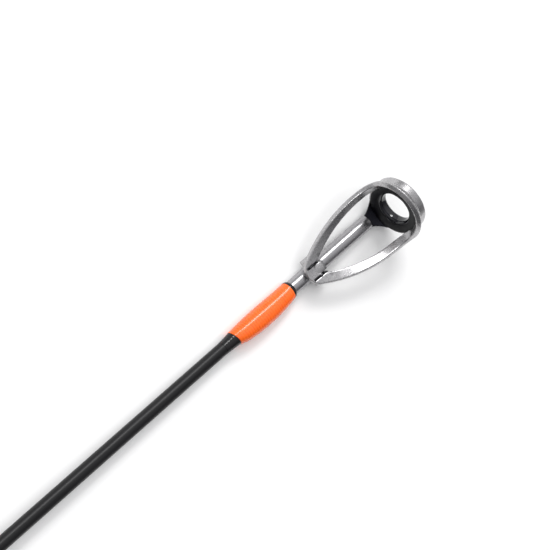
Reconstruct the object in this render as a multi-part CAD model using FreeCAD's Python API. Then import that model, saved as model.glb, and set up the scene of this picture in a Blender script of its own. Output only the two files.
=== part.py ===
"""Ice fishing rod, 610 mm long, for a small spinning or ice reel.

A hollow butt blank runs through a cork handle with a screw-locking reel seat. A solid, nearly parallel tip
is spliced into it. Three wrapped line guides and a tip guide carry the line. Everything is fixed to the blank
except the reel seat's sliding hood, which the knurled nut screws along a threaded barrel.

Frame: X runs along the rod's axis from the butt's flat end at 0 to the tip. Z is up, and the guides and the
reel's deck face it. Y is sideways. Millimetres.
"""

import FreeCAD
import Part
import math
import os

V = FreeCAD.Vector
X_AXIS = V(1, 0, 0)
ORIGIN = V(0, 0, 0)

# ---- Driving sizes -------------------------------------------------------------------------------------
ROD_LENGTH = 610.0  # butt face to the front of the tip guide
GLUE = 0.02  # radial gap filled by glue where one piece is bonded in another
RUNNING_FIT = 0.10  # radial clearance of the hood and nut on the barrel, and of the nut's neck in the hood
FREE_GAP = 0.30  # between pieces that pass without touching

# Blank
BLANK_BUTT_R = 3.3  # parallel stretch inside the handle
BLANK_WALL = 0.55
TIP_BLANK_R = 0.92  # solid tip, at the front of the tip wrap
TIP_TAPER = 0.0013  # its radius grows by this for each mm towards the splice
SPIGOT_STEP = 0.045  # the tip's end is ground down this much to enter the tip guide's tube
SPLICE_SHARE = 0.62  # of the bare blank, from the winding check to the tip guide
SPLICE_DEPTH = 25.0  # how far the solid tip goes into the hollow blank
SOCKET_CHAMFER = 1.0
BLANK_IN_CAP = 8.0  # the blank stops this far from the butt face

# Butt cap and trim ring
CAP_LENGTH = 14.0
CAP_R = 12.4
CAP_ROUND = 4.2
CAP_POCKET_DEPTH = 7.5
TENON_R = 8.6  # cork tenon that carries the trim ring and the cap
TRIM_LENGTH = 3.0
TRIM_PROUD = 0.2  # the ring stands this far above the cap
TRIM_EDGE = 0.5

# Cork grips
REAR_GRIP_LENGTH = 83.0
REAR_GRIP_RINGS = 7
REAR_GRIP_WAIST = 0.85  # how far its middle stands above a straight taper
FORE_GRIP_LENGTH = 38.0
FORE_GRIP_RINGS = 3
FORE_GRIP_SWELL = 1.1
CHECK_LENGTH = 3.5
CHECK_LAND = 0.8
CHECK_FRONT_WALL = 1.0
CHECK_BACK_WALL = 2.6

# Reel seat
COLLAR_LENGTH = 3.0
COLLAR_WALL = 2.1  # above the barrel's crest
COLLAR_EDGE = 0.4
BARREL_LENGTH = 33.0
BARREL_R = 7.5  # crest of the thread, and the seat body's radius
THREAD_PITCH = 1.5
THREAD_DEPTH = 0.55
THREAD_FLAT = 0.3
THREAD_RUN_OUT = 1.2
SEAT_BODY_LENGTH = 54.0
SEAT_WALL = 2.1
DECK_DEPTH = 1.3  # flat that the reel's foot rests on, below the seat's radius
HOOD_FLAT_STEP = 0.3  # the flat is this much lower under the hoods
KEYWAY_WIDTH = 2.8
KEYWAY_DEPTH = 0.9
ARBOR_COUNT = 3
ARBOR_LENGTH = 22.0

# Hoods, liners and nut
HOOD_WALL = 1.7
HOOD_LENGTH = 18.0
HOOD_HUMP_SHARE = 0.5  # of the hood, under the full height of its hump
HOOD_TAIL_SHARE = 0.8  # radius of the hump's tail, of the sleeve's
DECK_CLEAR = 1.0  # the deck starts this far ahead of the resting hood
HOOD_REST = 24.0  # from the collar's front face to the sliding hood's rear face, at rest
POCKET_DEPTH = 11.0
POCKET_HALF_WIDTH = 6.0
POCKET_HEIGHT = 4.4
POCKET_ROOF = 1.5
LINER_THICKNESS = 0.4
FIXED_HOOD_LENGTH = 17.0
FIXED_HOOD_OVERLAP = 13.0  # how much of the seat body lies inside it
NUT_LENGTH = 10.0
NUT_WALL = 2.0
NUT_EDGE = 0.7
NUT_GAP = 0.2  # between the nut's shoulder and the hood
NECK_WALL = 0.85  # nut's neck, inside the hood
NECK_LENGTH = 3.0
SNAP_WIRE_R = 0.25  # ring that ties the hood to the nut's neck
KNURL_GROOVES = 30
KNURL_R = 0.42
KNURL_OFFSET = 0.12  # centre of a groove's cutter above the nut's surface

# Hook keeper
KEEPER_AHEAD = 13.0  # centre of its loop, ahead of the winding check
KEEPER_WIRE_R = 0.4
KEEPER_LOOP_R = 2.6
KEEPER_BEND_R = 1.2
KEEPER_FOOT = 5.0

# Thread wraps
THREAD_LAYER = 0.14
WRAP_RAMP = 1.6  # length over which a wrap climbs from the blank onto a foot
WRAP_PAST_TOE = 1.2
SPLICE_WRAP_HALF = 6.5
SPLICE_WRAP_CHAMFER = 0.8

# Intermediate guides, from the butt: share of the bare blank, ring size, height of the ring's centre, reach
# of the legs behind it, radius of the legs' outer sides
GUIDES = (
    (0.244, 16.0, 13.5, 18.0, 42.0),
    (0.512, 12.0, 10.5, 14.0, 32.0),
    (0.780, 8.0, 6.8, 9.5, 21.0),
)
GUIDE_LEAN = 10.0  # degrees that a ring's top leans towards the tip
SHEET = 0.75  # guide frames are pressed from this sheet
SHOCK_RING_WALL = 0.10  # of the ring size
CERAMIC_WALL = 0.10  # of the ring size
HOOP_WALL = 0.30
HOOP_WIDTH = 1.9
NECK_SHEET = 0.6  # thickness of the neck below the hoop
NECK_SPREAD = 0.55  # half width of the neck at the hoop, of the hoop's radius
STRIP_BEND = 0.72  # radius of the strip's bend, of the hoop's
STRIP_BEHIND = 0.12  # the strip's face stands this far behind the hoop
STRIP_RIM = 0.15  # and its middle this much outside the hoop, of the sheet
NECK_WAIST = 0.45  # the neck is narrow for this share of its length
LEG_MEETS = 0.38  # of the ring size: a straight leg would meet the ring's face this far below its centre
SHOCK_RING_PROUD = 0.2
SHOCK_LIP = 0.12
CERAMIC_WIDTH = 1.6
CERAMIC_LAND = 0.7  # straight stretch of the ring's bore
CROWN_SHARE = 0.62  # of the ceramic's wall: where the bore's curve reaches the ring's face
LIP_SHARE = 0.2  # of the ceramic's wall, at the middle of that curve
SHOULDER_SHARE = 0.72  # and how far along the curve's length that is
GUIDE_APEX_LIFT = 0.45  # middle of the strip's narrow end above the blank
GUIDE_STRIP = {"apex_r": 1.3, "width": (1.5, 1.3), "dish": (4.0, 40.0)}
FOOT_LENGTH = 8.0
FOOT_ROOT = 1.0  # the rear foot starts this far ahead of the strip's narrow end
FOOT_HALF_WIDTH = 0.8
FOOT_TOE_HALF_WIDTH = 0.45
FOOT_THICKNESS = 0.6
FOOT_TOE_THICKNESS = 0.2
FOOT_UNDER = 0.3  # depth of the foot's hollow
FRONT_FOOT_AHEAD = 1.4  # from the hoop's front edge to the front foot's root

# Tip guide, measured along X from the front end of its wrap
TIP_RING_SIZE = 7.8
TIP_RING_HEIGHT = 4.5
TIP_LEAN = 9.0
TIP_RING_AT = 18.8
TIP_TUBE_WALL = 0.20
TIP_TUBE_EDGE = 0.08
TIP_TUBE_END = 15.7
TIP_TUBE_UNDER_WRAP = 9.0
TIP_SPIGOT_SHORT = 4.0  # the spigot stops this far behind the tube's end
TIP_PLUG = 2.0  # the frame's plug in the tube's end
TIP_WRAP_LENGTH = 11.7  # with the black trim in front
# Share of the wrap's length from its back, how far it stands above the tube, and how far it sags to one side
TIP_WRAP_STATIONS = ((0.0, 0.09, 0.0), (0.12, 0.28, 0.12), (0.55, 0.52, 0.25), (0.9, 0.34, 0.14), (1.0, 0.26, 0.04))
TIP_TRIM_BACK = 2.0  # length of the black trim wrap that runs out onto the blank
TIP_TRIM_FRONT = 0.55  # length of the one on the tube
TIP_TRIM_THIN = 0.03
FLARE_MIDDLE = 0.4  # height of the long trim half way, of its full height
BEAD_MIDDLE = 0.8  # and of the short one
TIP_APEX_AT = 3.0
TIP_APEX_LIFT = 0.5  # middle of the strip's narrow end above the tube
TIP_LEG_SLOPE = 9.0  # degrees
TIP_STRIP = {"apex_r": 1.5, "side_r": 23.0, "width": (1.5, 1.25), "dish": (8.0, 48.0)}
TIP_SADDLE_BACK = 3.2
TIP_SADDLE_FRONT = 5.5
TIP_SADDLE_R = 2.2  # its round top, level with the strip's
TIP_SADDLE_LOW = 0.3
TIP_SLIT_WIDTH = 0.22
TIP_SLIT_LENGTH = 1.25
SLIT_SHARE = 0.85  # slits' distance from the middle, of the tube's radius

# ---- Sizes that follow from them -----------------------------------------------------------------------
TIP_SPIGOT_R = TIP_BLANK_R - SPIGOT_STEP
TIP_TUBE_BORE_R = TIP_SPIGOT_R + GLUE
TIP_TUBE_R = TIP_TUBE_BORE_R + TIP_TUBE_WALL
TRIM_R = CAP_R + TRIM_PROUD
CHECK_BACK_R = BLANK_BUTT_R + CHECK_BACK_WALL
CHECK_FRONT_R = BLANK_BUTT_R + CHECK_FRONT_WALL
COLLAR_R = BARREL_R + COLLAR_WALL
SEAT_BORE_R = BARREL_R - SEAT_WALL
DECK_Z = BARREL_R - DECK_DEPTH
UNDER_HOOD_Z = DECK_Z - HOOD_FLAT_STEP
RUNNING_R = BARREL_R + RUNNING_FIT  # bore of the sliding hood and the nut
SLEEVE_R = RUNNING_R + HOOD_WALL
NUT_R = BARREL_R + NUT_WALL
NECK_R = RUNNING_R + NECK_WALL
NECK_BORE_R = NECK_R + RUNNING_FIT  # counterbore of the hood

# Stations along X, each from the one before
X_TRIM = CAP_LENGTH
X_REAR_GRIP = X_TRIM + TRIM_LENGTH
X_COLLAR = X_REAR_GRIP + REAR_GRIP_LENGTH
X_BARREL = X_COLLAR + COLLAR_LENGTH
X_SEAT_BODY = X_BARREL + BARREL_LENGTH
X_SEAT_END = X_SEAT_BODY + SEAT_BODY_LENGTH
X_FIXED_HOOD = X_SEAT_END - FIXED_HOOD_OVERLAP
X_FORE_GRIP = X_FIXED_HOOD + FIXED_HOOD_LENGTH
X_CHECK = X_FORE_GRIP + FORE_GRIP_LENGTH
X_BARE = X_CHECK + CHECK_LENGTH
X_HOOD = X_BARREL + HOOD_REST
X_NUT = X_HOOD - NUT_GAP - NUT_LENGTH
TIP_HOOP_R = TIP_RING_SIZE / 2 + HOOP_WALL
TIP_LEAN_RAD = math.radians(TIP_LEAN)
TIP_FRONT = TIP_RING_AT + HOOP_WIDTH / 2 * math.cos(TIP_LEAN_RAD) + TIP_HOOP_R * math.sin(TIP_LEAN_RAD)
X_TIP = ROD_LENGTH - TIP_FRONT  # front end of the tip wrap, where the tip guide's own sizes start
X_SPLICE = X_BARE + SPLICE_SHARE * (X_TIP - X_BARE)
SPLICE_TIP_R = TIP_BLANK_R + TIP_TAPER * (X_TIP - X_SPLICE)  # solid tip in its socket
SPLICE_R = SPLICE_TIP_R + GLUE + BLANK_WALL  # outside of the hollow blank at its front end

NODES = {}


# ---- Small helpers -------------------------------------------------------------------------------------
def turned(*path):
    """Solid of revolution about X. Each item is a corner (x, r), or ((x, r), (x, r)) for an arc through the
    first point that ends at the second. The outline closes itself."""
    edges = []
    start = at = V(*path[0], 0)
    for item in path[1:]:
        if isinstance(item[0], tuple):
            middle, end = V(*item[0], 0), V(*item[1], 0)
            edges.append(Part.Arc(at, middle, end).toShape())
        else:
            end = V(*item, 0)
            edges.append(Part.LineSegment(at, end).toShape())
        at = end
    if (at - start).Length > 1e-7:
        edges.append(Part.LineSegment(at, start).toShape())
    return Part.Face(Part.Wire(edges)).revolve(ORIGIN, X_AXIS, 360)


def rod_along_x(x0, x1, radius, y=0.0, z=0.0):
    """Cylinder along X from x0 to x1, with its axis at (y, z)."""
    return Part.makeCylinder(radius, x1 - x0, V(x0, y, z), X_AXIS)


def tube_along_x(x0, x1, outer, inner):
    """Tube along X."""
    return turned((x0, inner), (x1, inner), (x1, outer), (x0, outer))


def block(x0, x1, y0, y1, z0, z1):
    """Box between two corners."""
    return Part.makeBox(x1 - x0, y1 - y0, z1 - z0, V(x0, y0, z0))


def above(z, x0, x1, reach=40.0):
    """Everything above height z between x0 and x1."""
    return block(x0, x1, -reach, reach, z, z + reach)


def blank_radius(x):
    """Outside radius of the blank at x, apart from its spigot in the tip guide."""
    if x <= X_BARE:
        return BLANK_BUTT_R
    if x <= X_SPLICE:
        return BLANK_BUTT_R + (SPLICE_R - BLANK_BUTT_R) * (x - X_BARE) / (X_SPLICE - X_BARE)
    return TIP_BLANK_R + TIP_TAPER * (X_TIP - x)


# ---- Blank ---------------------------------------------------------------------------------------------
def blank_butt_section():
    """Hollow blank: parallel in the handle, then tapered to the splice, with a parallel socket for the tip."""
    socket_r = SPLICE_TIP_R + GLUE
    socket_x = X_SPLICE - SPLICE_DEPTH
    bore_at_socket = max(blank_radius(socket_x) - BLANK_WALL, socket_r)
    return turned(
        (BLANK_IN_CAP, BLANK_BUTT_R - BLANK_WALL),
        (X_BARE, BLANK_BUTT_R - BLANK_WALL),
        (socket_x, bore_at_socket),
        (socket_x + SOCKET_CHAMFER, socket_r),
        (X_SPLICE, socket_r),
        (X_SPLICE, SPLICE_R),
        (X_BARE, BLANK_BUTT_R),
        (BLANK_IN_CAP, BLANK_BUTT_R),
    )


def blank_tip_section():
    """Solid tip: parallel in its socket, then tapered, with a spigot ground to enter the tip guide's tube."""
    tube_back = X_TIP - TIP_TUBE_UNDER_WRAP
    spigot_end = X_TIP + TIP_TUBE_END - TIP_SPIGOT_SHORT
    back = X_SPLICE - SPLICE_DEPTH + SOCKET_CHAMFER + FREE_GAP
    return turned(
        (back, 0),
        (back, SPLICE_TIP_R),
        (X_SPLICE, SPLICE_TIP_R),
        (tube_back - FREE_GAP, blank_radius(tube_back - FREE_GAP)),
        (tube_back, TIP_SPIGOT_R),
        (spigot_end, TIP_SPIGOT_R),
        (spigot_end, 0),
    )


def blank_outline():
    """The blank's outside as one solid, for cutting the pieces that sit on it."""
    tube_back = X_TIP - TIP_TUBE_UNDER_WRAP
    return turned(
        (BLANK_IN_CAP, 0),
        (BLANK_IN_CAP, BLANK_BUTT_R),
        (X_BARE, BLANK_BUTT_R),
        (X_SPLICE, SPLICE_R),
        (X_SPLICE, SPLICE_TIP_R),
        (tube_back - FREE_GAP, blank_radius(tube_back - FREE_GAP)),
        (tube_back, TIP_SPIGOT_R),
        (X_TIP, TIP_SPIGOT_R),
        (X_TIP, 0),
    )


def splice_wrap(blank):
    """Thread that covers the step at the splice."""
    back, front = X_SPLICE - SPLICE_WRAP_HALF, X_SPLICE + SPLICE_WRAP_HALF
    edge, layer = THREAD_LAYER / 2, 2 * THREAD_LAYER
    wrap = turned(
        (back, 0),
        (back, blank_radius(back) + edge),
        (back + SPLICE_WRAP_CHAMFER, blank_radius(back) + layer),
        (X_SPLICE, SPLICE_R + layer),
        (X_SPLICE + SPLICE_WRAP_HALF / 2, SPLICE_TIP_R + 2 * layer),
        (front - SPLICE_WRAP_CHAMFER, blank_radius(front) + layer),
        (front, blank_radius(front) + edge),
        (front, 0),
    )
    return wrap.cut(blank)


# ---- Handle --------------------------------------------------------------------------------------------
def butt_cap():
    """Moulded end cap with a flat face and a pocket for the cork tenon."""
    pocket_r = TENON_R + GLUE
    pocket_x = CAP_LENGTH - CAP_POCKET_DEPTH
    diagonal = math.sqrt(0.5)
    return turned(
        (0, 0),
        (0, CAP_R - CAP_ROUND),
        ((CAP_ROUND * (1 - diagonal), CAP_R - CAP_ROUND * (1 - diagonal)), (CAP_ROUND, CAP_R)),
        (CAP_LENGTH, CAP_R),
        (CAP_LENGTH, pocket_r),
        (pocket_x, pocket_r),
        (pocket_x, 0),
    )


def butt_trim_ring():
    """Anodised ring between the cap and the cork."""
    return turned(
        (X_TRIM, TENON_R + GLUE),
        (X_TRIM, TRIM_R - TRIM_EDGE),
        (X_TRIM + TRIM_EDGE, TRIM_R),
        (X_REAR_GRIP - TRIM_EDGE, TRIM_R),
        (X_REAR_GRIP, TRIM_R - TRIM_EDGE),
        (X_REAR_GRIP, TENON_R + GLUE),
    )


def cork_rings(x0, x1, back_r, front_r, swell, count):
    """A grip turned from a stack of glued cork rings, as separate solids that meet face to face. Its side is
    an arc that stands above a straight taper by the swell."""
    mid_r = (back_r + front_r) / 2 + swell
    grip = turned((x0, BLANK_BUTT_R), (x0, back_r), (((x0 + x1) / 2, mid_r), (x1, front_r)), (x1, BLANK_BUTT_R))
    step = (x1 - x0) / count
    widest = 2 * max(back_r, mid_r, front_r)
    return [grip.common(rod_along_x(x0 + i * step, x0 + (i + 1) * step, widest)) for i in range(count)]


def rear_grip_corks():
    """Rear grip. Its first ring has the tenon for the trim ring and the cap."""
    rings = cork_rings(X_REAR_GRIP, X_COLLAR, CAP_R, COLLAR_R, REAR_GRIP_WAIST, REAR_GRIP_RINGS)
    tenon_x = CAP_LENGTH - CAP_POCKET_DEPTH + FREE_GAP
    tenon = rod_along_x(tenon_x, X_REAR_GRIP, TENON_R).cut(rod_along_x(BLANK_IN_CAP, X_REAR_GRIP, BLANK_BUTT_R))
    rings[0] = rings[0].fuse(tenon).removeSplitter()
    return Part.makeCompound(rings)


def fore_grip_corks():
    """Fore grip, tapering to the winding check."""
    rings = cork_rings(X_FORE_GRIP, X_CHECK, SLEEVE_R, CHECK_BACK_R, FORE_GRIP_SWELL, FORE_GRIP_RINGS)
    return Part.makeCompound(rings)


def winding_check():
    """Anodised ring that finishes the fore grip."""
    shoulder = X_CHECK + CHECK_LAND
    middle = ((shoulder + X_BARE) / 2, 0.4 * CHECK_BACK_R + 0.6 * CHECK_FRONT_R)
    return turned(
        (X_CHECK, BLANK_BUTT_R),
        (X_CHECK, CHECK_BACK_R),
        (shoulder, CHECK_BACK_R),
        (middle, (X_BARE, CHECK_FRONT_R)),
        (X_BARE, BLANK_BUTT_R),
    )


# ---- Reel seat -----------------------------------------------------------------------------------------
def seat_collar():
    """Anodised ring that stops the nut at the rear."""
    return turned(
        (X_COLLAR, BLANK_BUTT_R),
        (X_COLLAR, COLLAR_R),
        (X_BARREL - COLLAR_EDGE, COLLAR_R),
        (X_BARREL, COLLAR_R - COLLAR_EDGE),
        (X_BARREL, BLANK_BUTT_R),
    )


def seat_arbors():
    """Foam rings that centre the reel seat on the blank."""
    room = X_SEAT_END - X_BARREL
    gap = (room - ARBOR_COUNT * ARBOR_LENGTH) / (ARBOR_COUNT - 1)
    starts = [X_BARREL + i * (ARBOR_LENGTH + gap) for i in range(ARBOR_COUNT)]
    return Part.makeCompound(
        [tube_along_x(x, x + ARBOR_LENGTH, SEAT_BORE_R, BLANK_BUTT_R) for x in starts]
    )


def keyway(x0, x1):
    """Groove under the seat that keeps the sliding hood from turning."""
    half = KEYWAY_WIDTH / 2
    return block(x0, x1, -half, half, -2 * BARREL_R, -(BARREL_R - KEYWAY_DEPTH))


def threaded_barrel():
    """Threaded tube. The thread is drawn as rings of its own pitch and depth."""
    root = BARREL_R - THREAD_DEPTH
    path = [(X_BARREL, SEAT_BORE_R), (X_BARREL, root)]
    count = int((BARREL_LENGTH - 2 * THREAD_RUN_OUT) // THREAD_PITCH)
    first = X_BARREL + (BARREL_LENGTH - count * THREAD_PITCH) / 2
    flank = (THREAD_PITCH - 2 * THREAD_FLAT) / 2
    for i in range(count):
        x = first + i * THREAD_PITCH
        path += [
            (x + THREAD_FLAT / 2, root),
            (x + THREAD_FLAT / 2 + flank, BARREL_R),
            (x + THREAD_FLAT / 2 + flank + THREAD_FLAT, BARREL_R),
            (x + THREAD_PITCH - THREAD_FLAT / 2, root),
        ]
    path += [(X_SEAT_BODY, root), (X_SEAT_BODY, SEAT_BORE_R)]
    barrel = turned(*path)
    return barrel.cut([above(UNDER_HOOD_Z, X_BARREL, X_SEAT_BODY), keyway(X_BARREL, X_SEAT_BODY)])


def seat_body():
    """Seat body with the deck for the reel's foot. Under the hoods its flat is a little lower."""
    body = tube_along_x(X_SEAT_BODY, X_SEAT_END, BARREL_R, SEAT_BORE_R)
    deck_start = X_HOOD + HOOD_LENGTH + DECK_CLEAR
    deck_end = X_FIXED_HOOD - FREE_GAP
    body = body.cut([above(DECK_Z, X_SEAT_BODY, X_SEAT_END), keyway(X_SEAT_BODY, deck_end)])
    body = body.cut(
        [above(UNDER_HOOD_Z, X_SEAT_BODY, deck_start), above(UNDER_HOOD_Z, deck_end, X_SEAT_END)]
    )
    return body


def pocket_circle(extra=0.0):
    """(centre height, radius) of the round roof over the reel foot's pocket, grown by extra."""
    radius = (POCKET_HALF_WIDTH**2 + POCKET_HEIGHT**2) / (2 * POCKET_HEIGHT)
    return DECK_Z + POCKET_HEIGHT - radius, radius + extra


def pocket(x0, x1, extra=0.0):
    """The space that the reel's foot slides into."""
    z, radius = pocket_circle(extra)
    return rod_along_x(x0, x1, radius, z=z).common(above(UNDER_HOOD_Z, x0, x1))


def hood_form(x_mouth, x_full, x_back):
    """Outer form of a hood: a sleeve with a hump over the pocket that runs from the mouth at full height and
    then dies into the sleeve at the back."""
    z, radius = pocket_circle(LINER_THICKNESS + POCKET_ROOF)
    back_r = HOOD_TAIL_SHARE * SLEEVE_R
    back_z = SLEEVE_R - back_r - FREE_GAP / 2
    sleeve = rod_along_x(min(x_mouth, x_back), max(x_mouth, x_back), SLEEVE_R)
    hump = rod_along_x(min(x_mouth, x_full), max(x_mouth, x_full), radius, z=z)
    ramp = Part.makeLoft(
        [
            Part.Wire(Part.makeCircle(radius, V(x_full, 0, z), X_AXIS)),
            Part.Wire(Part.makeCircle(back_r, V(x_back, 0, back_z), X_AXIS)),
        ],
        True,
    )
    return sleeve.fuse([hump, ramp])


def liner(x0, x1):
    """Pressed steel lining of a hood's pocket: an arched sheet."""
    z, radius = pocket_circle()
    arch = rod_along_x(x0, x1, radius + LINER_THICKNESS, z=z).cut(rod_along_x(x0, x1, radius, z=z))
    return arch.common(above(RUNNING_R + FREE_GAP / 2, x0, x1))


def fixed_hood():
    """Front hood, bonded on the seat body, with its pocket facing the rear."""
    full = X_FIXED_HOOD + HOOD_HUMP_SHARE * FIXED_HOOD_LENGTH
    body = hood_form(X_FIXED_HOOD, full, X_FORE_GRIP)
    body = body.cut(rod_along_x(X_FIXED_HOOD, X_SEAT_END, BARREL_R + GLUE))
    body = body.cut(rod_along_x(X_SEAT_END, X_FORE_GRIP, BLANK_BUTT_R))
    body = body.cut(pocket(X_FIXED_HOOD, X_FIXED_HOOD + POCKET_DEPTH, LINER_THICKNESS))
    return body.removeSplitter()


def fixed_hood_liner():
    """Liner of the front hood's pocket."""
    return liner(X_FIXED_HOOD, X_FIXED_HOOD + POCKET_DEPTH)


def snap_ring(extra=0.0):
    """Round wire ring between the nut's neck and the hood, or the groove that it sits in."""
    x = X_HOOD + NECK_LENGTH / 2
    return Part.makeTorus((NECK_R + NECK_BORE_R) / 2, SNAP_WIRE_R + extra, V(x, 0, 0), X_AXIS)


def sliding_hood():
    """Rear hood. It slides on the barrel and the seat body, kept straight by a key, and is counterbored at
    its rear for the nut's neck."""
    x0, x1 = X_HOOD, X_HOOD + HOOD_LENGTH
    body = hood_form(x1, x1 - HOOD_HUMP_SHARE * HOOD_LENGTH, x0)
    body = body.cut(rod_along_x(x0, x1, RUNNING_R))
    body = body.cut(pocket(x1 - POCKET_DEPTH, x1, LINER_THICKNESS))
    counterbore_end = x0 + NECK_LENGTH + RUNNING_FIT
    body = body.cut([rod_along_x(x0, counterbore_end, NECK_BORE_R), snap_ring(RUNNING_FIT)])
    key_half = KEYWAY_WIDTH / 2 - RUNNING_FIT
    key_top = -(BARREL_R - KEYWAY_DEPTH + RUNNING_FIT)
    key = block(counterbore_end, x1, -key_half, key_half, -(RUNNING_R + HOOD_WALL / 2), key_top)
    return body.fuse(key).removeSplitter()


def sliding_hood_liner():
    """Liner of the sliding hood's pocket."""
    return liner(X_HOOD + HOOD_LENGTH - POCKET_DEPTH, X_HOOD + HOOD_LENGTH)


def lock_nut():
    """Knurled nut that drives the sliding hood through the snap ring on its neck. Its bore stands for the
    crests of the inner thread."""
    x0, x1 = X_NUT, X_NUT + NUT_LENGTH
    neck_end = X_HOOD + NECK_LENGTH
    nut = turned(
        (x0, RUNNING_R),
        (x0, NUT_R - NUT_EDGE),
        (x0 + NUT_EDGE, NUT_R),
        (x1 - NUT_EDGE, NUT_R),
        (x1, NUT_R - NUT_EDGE),
        (x1, NECK_R),
        (neck_end, NECK_R),
        (neck_end, RUNNING_R),
    )
    grooves = []
    for i in range(KNURL_GROOVES):
        angle = 2 * math.pi * i / KNURL_GROOVES
        y, z = [(NUT_R + KNURL_OFFSET) * share for share in (math.cos(angle), math.sin(angle))]
        grooves.append(rod_along_x(x0 - 1, x1 + 1, KNURL_R, y, z))
    return nut.cut(grooves).cut(snap_ring(RUNNING_FIT))


# ---- Hook keeper and thread wraps ----------------------------------------------------------------------
def hook_keeper():
    """Bent wire loop: two feet along the blank and a round loop that a hook hangs on."""
    x = X_BARE + KEEPER_AHEAD
    base = blank_radius(x - KEEPER_LOOP_R - KEEPER_BEND_R - KEEPER_FOOT) + KEEPER_WIRE_R
    centre = V(x, 0, base + KEEPER_BEND_R)
    out = KEEPER_LOOP_R + KEEPER_BEND_R
    diagonal = math.sqrt(0.5)

    def bend(side):
        """Quarter circle between a foot and the loop."""
        middle = V(x + side * (out - KEEPER_BEND_R * diagonal), 0, base + KEEPER_BEND_R * (1 - diagonal))
        return V(x + side * out, 0, base), middle, V(x + side * KEEPER_LOOP_R, 0, base + KEEPER_BEND_R)

    back_foot, back_mid, back_top = bend(-1)
    front_foot, front_mid, front_top = bend(1)
    path = Part.Wire(
        [
            Part.LineSegment(back_foot - V(KEEPER_FOOT, 0, 0), back_foot).toShape(),
            Part.Arc(back_foot, back_mid, back_top).toShape(),
            Part.Arc(back_top, centre + V(0, 0, KEEPER_LOOP_R), front_top).toShape(),
            Part.Arc(front_top, front_mid, front_foot).toShape(),
            Part.LineSegment(front_foot, front_foot + V(KEEPER_FOOT, 0, 0)).toShape(),
        ]
    )
    section = Part.Wire(Part.makeCircle(KEEPER_WIRE_R, back_foot - V(KEEPER_FOOT, 0, 0), X_AXIS))
    return path.makePipeShell([section], True, True)


def thread_wrap(x_out, x_in, foot_height, keep_out):
    """Thread wound over the blank and a foot on its top. x_out is the end past the foot's toe, where the
    thread runs down onto the blank, and x_in the end beside the loop or the frame."""
    way = 1 if x_in > x_out else -1
    full = x_out + way * WRAP_RAMP
    shapes = []
    for x, lift, layer in (
        (x_out, 0.0, THREAD_LAYER / 2),
        (full, foot_height / 2, THREAD_LAYER),
        (x_in, foot_height / 2, THREAD_LAYER),
    ):
        radius = blank_radius(x) + lift + layer
        shapes.append(Part.Wire(Part.makeCircle(radius, V(x, 0, lift), X_AXIS)))
    return Part.makeLoft(shapes, True, True).cut(keep_out)


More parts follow.
